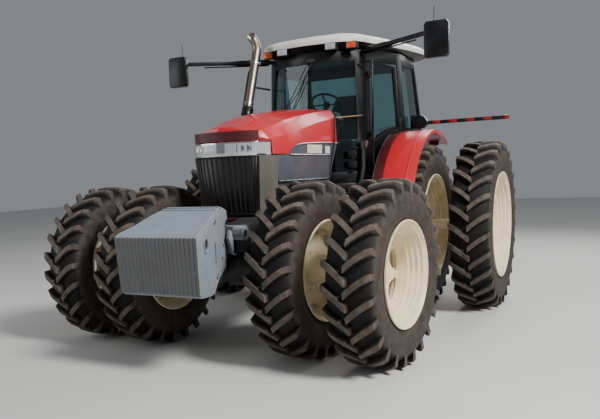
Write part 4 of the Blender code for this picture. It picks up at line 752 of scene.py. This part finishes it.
def hood():
    """The red shell, its centre panel, a dark maroon strip of painted shade on the nose face, the lamps, the
    grille, the sides and their trim.
    """
    shell = refined("hood_shell", "hood", 0.0)
    for vertex in shell.data.vertices:
        if vertex.co.y < -1.43:
            if vertex.co.z > 2.05:
                vertex.co.y = max(vertex.co.y - 0.058, -1.599)
            elif vertex.co.z > 2.008:
                vertex.co.y -= 0.03
            elif vertex.co.z > 1.985:
                vertex.co.y += 0.016
    apply_bevel(shell, 0.007, 3, 22.0)
    finish(shell, RED, "hood", True, 50.0)
    rows = [(0.2, 0.186, 2.3665, 2.3715), (0.2, -0.25, 2.3365, 2.3465), (0.19, -0.707, 2.2895, 2.3015),
            (0.185, -0.97, 2.2485, 2.2615), (0.174, -1.24, 2.1885, 2.2015), (0.16, -1.35, 2.15, 2.164),
            (0.15, -1.54, 2.112, 2.1215)]

    def crown(i, j):
        half, y, edge, middle = rows[j]
        share = i / 4 - 1.0
        low = 0.0 if abs(share) < 0.99 else -0.006
        return (share * half * 1.04, y, middle + (edge - middle) * abs(share) + 0.004 + low)

    finish(skin("hood_centre_panel", 8, len(rows) - 1, crown, 0.008), RED, "hood", smooth=25.0)

    # Painted shade: the nose face below the hood's front edge gets a dark maroon strip, the red enamel drawn
    # as it looks in the shade of the undercut.
    def lip(i, j):
        share = i / 8 - 1.0
        x, y = along_line(NOSE_HIGH[:4], min(0.999, abs(share)))
        return (x if share > 0 else -x, y + 0.001 + 0.01 * (1 - j / 2), 1.994 + 0.088 * j / 2)

    finish(skin("nose_face_shade", 16, 2, lip, 0.006), PAINTED_SHADE_MAROON, "hood")
    reworked("headlight_band", CHROME, 0.003, 2)
    cover = [(x, y - 0.0005) for x, y in NOSE_HIGH[:6]]

    def lamp_face(start, stop):
        def place(i, j):
            x, y = along_line(cover, start + (stop - start) * i / 8)
            return (x, y, 1.868 + 0.1 * j / 2)
        return place

    for side, sign in SIDES.items():
        for k, (start, stop) in enumerate(((0.06, 0.2), (0.22, 0.4), (0.42, 0.96))):
            lamp = skin(f"lamp_cover_{side}_{k}", 8, 2, lamp_face(start, stop), 0.007)
            lamp.data.transform(Matrix.Diagonal((sign, 1, 1, 1)))
            outward(lamp)
            finish(lamp, CLEAR, "headlight_band")
        for k, share in enumerate((0.27, 0.35)):
            x, y = along_line(cover, share)
            bowl = disc(f"lamp_bowl_{side}_{k}", (sign * x, y + 0.004, 1.918), 0.034, 0.016, "Y", 20, 0.005)
            finish(bowl, STEEL, "headlight_band")
    reworked("grille", DARK, 0.003, 1)
    ribs = []
    count = 17
    for i in range(count):
        share = -1.0 + 2.0 * (i + 0.5) / count
        x, y = along_line(NOSE_LOW[:4], abs(share) * 0.99)
        a, b = along_line(NOSE_HIGH[:4], abs(share) * 0.99)
        sign = 1 if share > 0 else -1
        ribs.append(rod(f"grille_rib_{i}", [(sign * x, y - 0.001, 1.3), (sign * a, b + 0.004, 1.848)], 0.0105,
                sides=2))
    for k, z in enumerate((1.305, 1.846)):
        line = NOSE_LOW[:4] if k == 0 else NOSE_HIGH[:4]
        points = [(-x, y, z) for x, y in reversed(line[1:])] + [(x, y, z) for x, y in line]
        ribs.append(rod(f"grille_rail_{k}", points, 0.007, sides=1))
    finish(joined("grille_ribs", ribs), DARK, "grille")
    for side, sign in SIDES.items():
        def corner(i, j):
            x, y = along_line(NOSE_LOW[3:], i / 6)
            a, b = along_line(NOSE_HIGH[3:], i / 6)
            share = j / 4
            return (sign * (x + (a - x) * share + 0.003), y + (b - y) * share - 0.002, 1.292 + 0.556 * share)
        finish(skin(f"nose_corner_{side}", 6, 4, corner, 0.006), CORNER, "hood_side_left")
        panel = refined(f"hood_side_{side}_finished", f"hood_side_{side}", 0.0)
        for vertex in panel.data.vertices:
            if vertex.co.y > 0.1:
                vertex.co.y -= (1.98 - vertex.co.z) * 0.55
        apply_bevel(panel, 0.003)
        finish(panel, GREY, f"hood_side_{side}", True)
        trim = rod(f"arch_trim_{side}", [(sign * x, y, z) for x, y, z in ARCH], 0.006, sides=2)
        line = rod(f"waist_trim_{side}", [(sign * 0.4565, -1.03, 1.853), (sign * 0.466, 0.075, 1.853)], 0.006,
                sides=2)
        seam = rod(f"seam_trim_{side}", [(sign * x, y, 1.602) for x, y in ((0.426, -1.235), (0.441, -1.04),
                (0.45, -0.707), (0.456, -0.06))], 0.005, sides=2)
        finish(joined(f"side_trim_{side}", [trim, line, seam]), BLUE_STEEL, "hood_side_left")
        for k, (near, far, low, high, paint) in enumerate(((-0.62, -0.24, 1.868, 1.935, DECAL),
                (-0.62, -0.24, 1.935, 1.955, CREAM), (-0.15, -0.02, 1.868, 1.945, DECAL))):
            def film(i, j):
                y = near + (far - near) * i / 2
                z = low + (high - low) * j / 2
                out = 0.4605 + 0.0109 * (y + 0.707) - 0.011 * (1.975 - z) / 0.375
                return (sign * (out + 0.0004), y, z)
            finish(skin(f"blank_decal_{side}_{k}", 2, 2, film, 0.0008), paint, "hood_side_left")
        reworked(f"side_panel_{side}", GREY, 0.003)
        if side == "left":
            stay = rod("hood_stay_left", [(0.466, 0.13, 2.27), (0.48, 0.105, 2.05), (0.482, 0.05, 1.9),
                    (0.468, -0.03, 1.64)], 0.008, sides=2)
            finish(stay, PLASTIC, "hood_side_left")
    bars = [rod("under_grille_bar", [(-0.362, -1.31, 1.258), (-0.3, -1.405, 1.258), (0.0, -1.48, 1.258),
            (0.3, -1.405, 1.258), (0.362, -1.31, 1.258)], 0.022)]
    bars += [rod(f"grille_bar_leg_{sign}", [(sign * 0.28, -1.42, 1.258), (sign * 0.28, -1.42, 1.1)], 0.014)
            for sign in (1, -1)]
    # Painted shade: the bar takes the dark maroon that stands for the red enamel in shade under the nose.
    finish(joined("under_grille_bar", bars), PAINTED_SHADE_MAROON, "front_frame")
    stay = rod("bonnet_link_rod", [(0.455, 0.215, 2.262), (0.585, 0.69, 2.3)], 0.006, sides=3)
    finish(stay, TAN, "cab_frame")


def bracket():
    """Cast lug and cross tube that the weights hook on, behind them."""
    tube = rod("weight_cross_tube", [(-0.398, -1.9, 1.165), (0.398, -1.9, 1.165)], 0.066, sides=7)
    # Painted shade: black discs on the tube's ends stand for the shade inside its bore.
    bore_shades = [disc(f"tube_bore_shade_{side}", (sign * 0.399, -1.9, 1.165), 0.034, 0.006, "X")
            for side, sign in SIDES.items()]
    finish(tube, WEIGHT, "front_frame")
    finish(joined("tube_bores", bore_shades), PLASTIC, "front_frame")
    for side, sign in SIDES.items():
        low, high = sorted((sign * 0.27, sign * 0.3))
        ear = slab(f"weight_ear_{side}", [(-1.99, 1.2), (-2.03, 1.13), (-1.96, 0.99), (-1.9, 0.96),
                (-1.88, 1.06), (-1.93, 1.13)], "X", low, high, 0.005)
        finish(ear, WEIGHT, "front_frame")


# --- Cab ------------------------------------------------------------------------


def cab():
    """The cab's steel and glass, the door's furniture, the wiper, a hose and small boxes."""
    reworked("cab_frame", BLACK, 0.004, 2)
    reworked("cab_base", BLACK, 0.006, 2)
    reworked("door_left_frame", BLACK, 0.003, 2)
    for node in ("door_left_glass", "quarter_window_left", "quarter_window_right", "rear_window",
            "window_right", "windshield"):
        dress(frame["nodes"][node], GLASS)
    handle = block("door_handle", (0.782, 1.448, 2.195), (0.812, 1.484, 2.29), 0.008)
    lock = disc("door_lock", (0.799, 1.467, 2.172), 0.012, 0.02, "X")
    finish(joined("door_latch", [handle, lock]), PLASTIC, "door_left_frame")
    pull = rod("door_inner_pull", [(0.662, 1.06, 2.062), (0.628, 1.075, 2.075), (0.672, 1.275, 2.14),
            (0.718, 1.29, 2.145)], 0.01)
    finish(pull, PLASTIC, "door_left_frame")
    blade = rod("wiper_blade", [(-0.34, 0.47, 2.56), (-0.3, 0.448, 2.1)], 0.009, sides=2)
    arms = [rod(f"wiper_arm_{i}", [(x, 0.505, 2.955), (-0.18 + x, 0.478, 2.6), (-0.32, 0.452, 2.34)], 0.006,
            sides=2) for i, x in enumerate((0.02, 0.07))]
    motor = block("wiper_spindle", (0.0, 0.49, 2.935), (0.095, 0.525, 2.975), 0.006)
    finish(joined("wiper", [blade, motor] + arms), PLASTIC, "cab_frame")
    hose = rod("heater_hose", [(0.585, 0.655, 2.0), (0.61, 0.63, 1.9), (0.62, 0.61, 1.72), (0.6, 0.6, 1.56),
            (0.54, 0.56, 1.44)], 0.026, sides=5)
    finish(hose, HOSE, "cab_frame")
    latch = block("pillar_latch", (0.61, 0.66, 1.93), (0.655, 0.7, 2.01), 0.006)
    finish(latch, STEEL, "cab_frame")
    for i, z in enumerate((1.7, 1.82)):
        box = block(f"cab_front_box_{i}", (0.47, 0.515, z), (0.565, 0.57, z + 0.08), 0.006)
        finish(box, PLASTIC, "cab_frame")


def roof():
    """The gelcoat cap over a dark rim, with its lamps, beacon and vents."""
    shell = reworked("roof", ROOF, 0.014, 3, 25.0, 60.0)
    shell.data.materials.append(DARK)
    for face in shell.data.polygons:
        drop = 0.03 * max(0.0, (face.center.y - 1.6) / 0.9)
        if face.center.z < 3.118 - drop:
            face.material_index = 1
    cap = spun("beacon_base", [(0.0, 0.07), (0.03, 0.068), (0.05, 0.05), (0.056, 0.0)], 32, closed=False)
    cap.data.transform(Matrix.Translation((0.3, 0.9, 3.225)) @ Matrix.Rotation(math.radians(-90), 4, "Y"))
    finish(cap, ROOF, "roof")
    for side, sign in SIDES.items():
        for k, (x, y, half, paint) in enumerate(((0.3, 0.486, 0.066, CLEAR), (0.52, 0.562, 0.06, AMBER))):
            high = 3.128
            bezel = block(f"roof_lamp_{side}_{k}", (sign * x - half, y - 0.012, 3.046),
                    (sign * x + half, y + 0.085, high), 0.008)
            glass = block(f"roof_lens_{side}_{k}", (sign * x - half + 0.007, y - 0.018, 3.053),
                    (sign * x + half - 0.007, y - 0.008, high - 0.007), 0.004)
            finish(bezel, PLASTIC, "roof")
            finish(glass, paint, "roof")
        bezel = block(f"rear_lamp_{side}", (sign * 0.62 - 0.06, 2.4, 2.985), (sign * 0.62 + 0.06, 2.47, 3.09),
                0.01)
        glass = block(f"rear_lens_{side}", (sign * 0.62 - 0.05, 2.466, 2.995),
                (sign * 0.62 + 0.05, 2.476, 3.08), 0.004)
        finish(bezel, PLASTIC, "roof")
        finish(glass, CLEAR, "roof")
    grid = []
    for i in range(9):
        grid.append(block(f"roof_vent_{i}", (-0.36 + 0.09 * i - 0.03, 2.3, 3.058),
                (-0.36 + 0.09 * i + 0.03, 2.44, 3.064), 0.002))
    finish(joined("roof_vent_slats", grid), PLASTIC, "roof")


def fenders():
    """Rear fenders with a crease, a seal against the cab and a tail lamp."""
    for side, sign in SIDES.items():
        reworked(f"fender_{side}", FENDER_RED, 0.005, 2)
        crease = []
        for i in range(25):
            angle = math.radians(158.0 - 96.0 * i / 24)
            crease.append((sign * 1.12, 1.56 + 1.151 * math.cos(angle), 0.975 + 1.151 * math.sin(angle)))
        finish(rod(f"fender_crease_{side}", crease, 0.007, sides=2), FENDER_RED, "fender_left")
        seal = [(sign * 0.741, y, z + 0.002) for x, y, z in crease[2:-1]]
        finish(rod(f"fender_seal_{side}", seal, 0.008, sides=2), PLASTIC, "cab_frame")
        lamp = block(f"tail_lamp_{side}", (sign * 1.05 - 0.06, 2.085, 1.945),
                (sign * 1.05 + 0.06, 2.12, 2.01), 0.006)
        finish(lamp, RUBY, "fender_left")


def exhaust():
    """Rising stack: an elbow off the engine, a heat shield, and a turned-back tip cut at a slant."""
    foot = Vector((-0.64, -0.235, 1.33))
    head = Vector((-0.6, 0.42, 3.15))
    low = rod("exhaust_elbow", [(-0.262, -0.265, 1.235), (-0.42, -0.265, 1.235), (-0.56, -0.265, 1.238),
            (-0.605, -0.262, 1.252), (-0.633, -0.252, 1.285), foot, foot.lerp(head, 0.1)], 0.05, sides=7)
    shield = rod("exhaust_shield", [foot.lerp(head, t) for t in (0.06, 0.068, 0.34, 0.612, 0.62)], 0.068,
            (0.88, 1.0, 1.0, 1.0, 0.88), sides=8)
    guard = rod("exhaust_guard", [foot.lerp(head, t) + Vector((-0.02, 0.006, 0.0))
            for t in (0.61, 0.66, 0.84, 0.865)], 0.052, (0.95, 1.0, 1.0, 0.8), sides=8)
    bands = [rod(f"exhaust_band_{i}", [foot.lerp(head, t), foot.lerp(head, t + 0.012)], 0.07, sides=8)
            for i, t in enumerate((0.12, 0.34, 0.57))]
    finish(low, EXHAUST, "exhaust_stack", True, 50.0)
    finish(joined("exhaust_heat_shield", [shield, guard] + bands), BLACK, "exhaust_stack")
    pipe = rod("exhaust_pipe", [foot.lerp(head, t) for t in (0.6, 0.8, 0.96)]
            + [head, (-0.606, 0.417, 3.2), (-0.622, 0.404, 3.255), (-0.65, 0.382, 3.3),
            (-0.69, 0.348, 3.352)], 0.053, sides=9)
    edit(pipe)
    bpy.ops.mesh.bisect(plane_co=(-0.65, 0.382, 3.312), plane_no=(-0.15, -0.85, 0.5), clear_outer=True)
    leave_edit()
    modified(pipe, "SOLIDIFY", thickness=0.004)
    finish(pipe, EXHAUST, "exhaust_stack", smooth=50.0)
    clamps = [rod(f"exhaust_clamp_{i}", [foot.lerp(head, t), foot.lerp(head, t + 0.015)], 0.056, sides=8)
            for i, t in enumerate((0.635, 0.9))]
    ear = foot.lerp(head, 0.907)
    clamps.append(block("clamp_ear", ear + Vector((0.045, -0.012, -0.016)),
            ear + Vector((0.085, 0.012, 0.016)), 0.003))
    clamps.append(disc("clamp_bolt", ear + Vector((0.07, 0.0, 0.0)), 0.008, 0.05, "Y", 6, 0.001))
    high = foot.lerp(head, 0.755)
    clamps.append(rod("exhaust_stay", [high, (-0.602, 0.7395, high.z)], 0.013, sides=3))
    finish(joined("exhaust_clamps", clamps), STEEL, "exhaust_stack")


def mirrors():
    """Mirror heads on bent tubes that taper from the pillar."""
    for side, sign in SIDES.items():
        reworked(f"mirror_{side}", BLACK, 0.007, 2)
        middle = sign * 1.56
        face = block(f"mirror_glass_{side}", (middle - 0.1, 0.196, 2.805), (middle + 0.1, 0.2, 3.115), 0.003)
        finish(face, CHROME, "mirror_left")
        stub = rod(f"mirror_root_{side}", [(sign * 0.6, 0.76, 3.037), (sign * 0.9, 0.585, 3.042),
                (sign * 1.12, 0.456, 3.047)], 0.036, (1.0, 0.95, 0.45), sides=3)
        finish(stub, BLACK, "mirror_left")
        brace = rod(f"mirror_brace_{side}", [(sign * 0.62, 0.745, 3.0), (sign * 1.3, 0.352, 3.01)], 0.008,
                sides=3)
        finish(brace, BLACK, "mirror_left")
        whip = rod(f"mirror_aerial_{side}", [(sign * 1.52, 0.205, 3.08), (sign * 1.524, 0.205, 3.3)], 0.0035,
                sides=2)
        finish(whip, PLASTIC, "mirror_left")


def light_arms():
    """Folding arms behind the fenders, taped in red and black, with a lamp at each end."""
    for side, sign in SIDES.items():
        reworked(f"light_arm_{side}", BLACK, 0.006, 2)
        for i in range(8):
            near, far = sorted((sign * (1.11 + 0.1 * i), sign * (1.205 + 0.1 * i)))
            for k, y in enumerate((1.7875, 1.8485)):
                tape = block(f"reflector_{side}_{i}_{k}", (near, y, 2.211), (far, y + 0.004, 2.244), 0.001)
                finish(tape, BLACK if i % 2 else RUBY, "light_arm_left")
        near, far = sorted((sign * 1.945, sign * 1.9895))
        lamp = block(f"width_lamp_{side}", (near, 1.786, 2.2), (far, 1.854, 2.256), 0.008)
        finish(lamp, RUBY, "light_arm_left")


def steps_and_tank():
    """The left steps with their cleats, and the strapped tank on the right."""
    reworked("cab_steps_left", BLACK, 0.003, 1)
    cleats = []
    for z in (0.545, 0.835, 1.125, 1.4305):
        for i in range(9):
            x = 0.62 + 0.033 * i
            for y in (0.15, 0.29):
                cleats.append(block("cleat", (x, y, z), (x + 0.012, y + 0.11, z + 0.005), 0.0015))
    finish(joined("step_cleats", cleats), STEEL, "cab_steps_left")
    reworked("fuel_tank", PLASTIC, 0.03, 4)
    neck = disc("tank_cap", (-0.6, 0.27, 1.375), 0.048, 0.04, "Z", 24, 0.006)
    finish(neck, BLACK, "fuel_tank")
    straps = [slab(f"tank_strap_{i}", [(-0.7235, 0.68), (-0.7235, 1.32), (-0.7175, 1.32), (-0.7175, 0.68)],
            "Y", y, y + 0.045, 0.001) for i, y in enumerate((0.13, 0.365))]
    finish(joined("tank_straps", straps), STEEL, "fuel_tank")


# --- Inside the cab -------------------------------------------------------------


def pad(name, node, scale, cap):
    """A stuffed pad: the plain solid drawn in, blown up as cloth within a limit, then smoothed."""
    obj = refined(name, node, 0.0)
    low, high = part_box(node)
    middle = (Vector(low) + Vector(high)) / 2
    obj.data.transform(Matrix.Translation(middle) @ Matrix.Diagonal((*scale, 1))
            @ Matrix.Translation(-middle))
    only(obj)
    obj.data.remesh_voxel_size = 0.008
    bpy.ops.object.voxel_remesh()
    start = [vertex.co.copy() for vertex in obj.data.vertices]
    cloth = obj.modifiers.new("stuffing", "CLOTH")
    cloth.settings.use_pressure = True
    cloth.settings.uniform_pressure_force = 4.0
    cloth.settings.effector_weights.gravity = 0.0
    for step in range(1, 21):
        bpy.context.scene.frame_set(step)
    only(obj)
    bpy.ops.object.modifier_apply(modifier="stuffing")
    for vertex, place in zip(obj.data.vertices, start):
        travel = vertex.co - place
        if travel.length > cap:
            vertex.co = place + travel * (cap / travel.length)
    bpy.context.scene.frame_set(1)
    modified(obj, "SUBSURF", levels=1)
    finish(obj, CLOTH, node, True, 180.0)


def inside():
    """Seat, console, dash and steering wheel."""
    pad("seat_cushion_pad", "seat_cushion", (0.93, 0.93, 0.8), 0.014)
    pad("seat_back_pad", "seat_back", (0.92, 0.8, 0.95), 0.014)
    edge = [(-0.235, 1.3, 2.02), (0.235, 1.3, 2.02), (0.238, 1.8, 2.02), (-0.238, 1.8, 2.02),
            (-0.235, 1.3, 2.02)]
    finish(rod("cushion_piping", edge, 0.004, sides=2), PLASTIC, "seat_pedestal")
    reworked("seat_pedestal", PLASTIC, 0.012, 3)
    folds = [block(f"bellows_{i}", (-0.185, 1.405, 1.585 + 0.055 * i), (0.185, 1.795, 1.612 + 0.055 * i),
            0.01) for i in range(5)]
    finish(joined("seat_bellows", folds), PLASTIC, "seat_pedestal")
    reworked("side_console", PLASTIC, 0.018, 3)
    levers = []
    for i, y in enumerate((1.3, 1.4, 1.5)):
        z = 2.1 + (y - 1.25) * 0.1
        levers.append(rod(f"lever_{i}", [(-0.385, y, z), (-0.385, y - 0.02, z + 0.11)], 0.006, sides=3))
        levers.append(disc(f"lever_knob_{i}", (-0.385, y - 0.021, z + 0.118), 0.016, 0.034, "Z", 16, 0.006))
    finish(joined("hand_levers", levers), BLACK, "side_console")
    reworked("dash_cowl", PLASTIC, 0.015, 3)
    panel = block("dash_panel", (-0.155, 0.985, 2.262), (0.155, 1.006, 2.345), 0.006)
    finish(panel, BLACK, "dash_cowl")
    deselect()
    bpy.ops.mesh.primitive_torus_add(major_radius=0.19, minor_radius=0.014, major_segments=48,
            minor_segments=12)
    parts = [named("wheel_rim")]
    for i, angle in enumerate((0.0, 180.0, 270.0)):
        far = (0.186 * math.cos(math.radians(angle)), 0.186 * math.sin(math.radians(angle)), 0.0)
        parts.append(rod(f"wheel_spoke_{i}", [(0.0, 0.0, -0.006), far], 0.009, sides=3))
    parts.append(disc("wheel_hub", (0.0, 0.0, -0.004), 0.045, 0.036, "Z", 24, 0.008))
    wheel = joined("steering_wheel_finished", parts)
    wheel.data.transform(Matrix.Translation((0.0, 1.1, 2.494)) @ Matrix.Rotation(math.radians(-38.0), 4, "X"))
    finish(wheel, PLASTIC, "steering_wheel", True, 50.0)


# --- Driveline and hitch --------------------------------------------------------


def driveline():
    """The castings, the axle, the hitch's links and the bolts on the castings."""
    for node in ("engine_block", "transmission_housing", "front_frame", "front_axle_beam", "knuckle_left",
            "knuckle_right"):
        reworked(node, IRON, 0.004, 2)
    for node in ("rockshaft_arms", "lower_link_left", "lower_link_right", "lift_rod_left", "lift_rod_right",
            "top_link"):
        reworked(node, BLACK, 0.002, 1)
    reworked("steering_rod", STEEL, 0.002, 1)
    heads = []
    master = bolt("casting_bolt", 0.014, 0.012)
    for i in range(10):
        angle = math.tau * i / 10
        for side, sign in SIDES.items():
            place = Matrix.Translation((sign * 0.3005, 1.56 + 0.245 * math.cos(angle),
                    0.975 + 0.245 * math.sin(angle)))
            heads.append(copied(master, "trumpet_bolt", place @ Matrix.Diagonal((sign, 1, 1, 1))))
    for y in (-1.6, -1.35, -0.9, -0.55, -0.25):
        for side, sign in SIDES.items():
            place = Matrix.Translation((sign * 0.3002, y, 1.06))
            heads.append(copied(master, "frame_bolt", place @ Matrix.Diagonal((sign, 1, 1, 1))))
    bpy.data.objects.remove(master)
    finish(joined("casting_bolts", heads), STEEL, "front_frame")


def stage():
    """A pale floor, a soft key from the front left, a weaker fill and an even sky."""
    deselect()
    bpy.ops.mesh.primitive_plane_add(size=60.0, location=(0, 0, -0.002))
    floor = named("studio_floor")
    material, tree, shader, place = surface("pale_concrete", "#C9C8C4", {"Roughness": 0.8})
    cloud = add(tree, "TexNoise", inputs={"Vector": place, "Scale": 0.6, "Detail": 6.0}).outputs["Fac"]
    tone = add(tree, "Mix", {"data_type": "RGBA"}, {0: cloud, 6: linear("#C4C3BF"),
            7: linear("#D2D1CD")}).outputs[2]
    tree.links.new(tone, shader.inputs["Base Color"])
    floor.data.materials.append(material)
    for name, place, aim, power, size in (("key", (9.0, -4.5, 9.5), (0, 0, 1.2), 2300, 3.2),
            ("fill", (-8.0, -6.0, 4.0), (0, 0, 1.2), 260, 6.0), ("rim", (2.0, 9.0, 7.0), (0, 0, 1.5), 500,
            5.0)):
        deselect()
        bpy.ops.object.light_add(type="AREA", location=place)
        light = bpy.context.object
        light.name = f"{name}_light"
        light.data.energy = power
        light.data.size = size
        light.rotation_euler = (Vector(aim) - Vector(place)).to_track_quat("-Z", "Y").to_euler()
    world = bpy.data.worlds.new("soft_sky")
    world.use_nodes = True
    world.node_tree.nodes["Background"].inputs["Color"].default_value = linear("#DDE3EA")
    world.node_tree.nodes["Background"].inputs["Strength"].default_value = 0.32
    bpy.context.scene.world = world


def camera():
    """Stands at the front left, near eye height, and looks at the hood."""
    place = Vector((3.439, -7.609, 1.682))
    yaw = 0.559
    pitch = 0.114
    roll = -0.041
    ahead = Vector((-math.sin(yaw) * math.cos(pitch), math.cos(yaw) * math.cos(pitch), -math.sin(pitch)))
    level = Vector((math.cos(yaw), math.sin(yaw), 0.0))
    up = level.cross(ahead)
    right = math.cos(roll) * level + math.sin(roll) * up
    top = -math.sin(roll) * level + math.cos(roll) * up
    deselect()
    bpy.ops.object.camera_add()
    eye = bpy.context.object
    eye.name = "eye_level_camera"
    eye.matrix_world = Matrix((right, top, -ahead)).transposed().to_4x4()
    eye.location = place
    eye.data.sensor_width = 36.0
    eye.data.lens = 43.8
    eye.data.shift_x = 0.1737
    eye.data.shift_y = 0.0837
    bpy.context.scene.camera = eye


wheels()
weights()
bracket()
hood()
cab()
roof()
fenders()
exhaust()
mirrors()
light_arms()
steps_and_tank()
inside()
driveline()
stage()
camera()
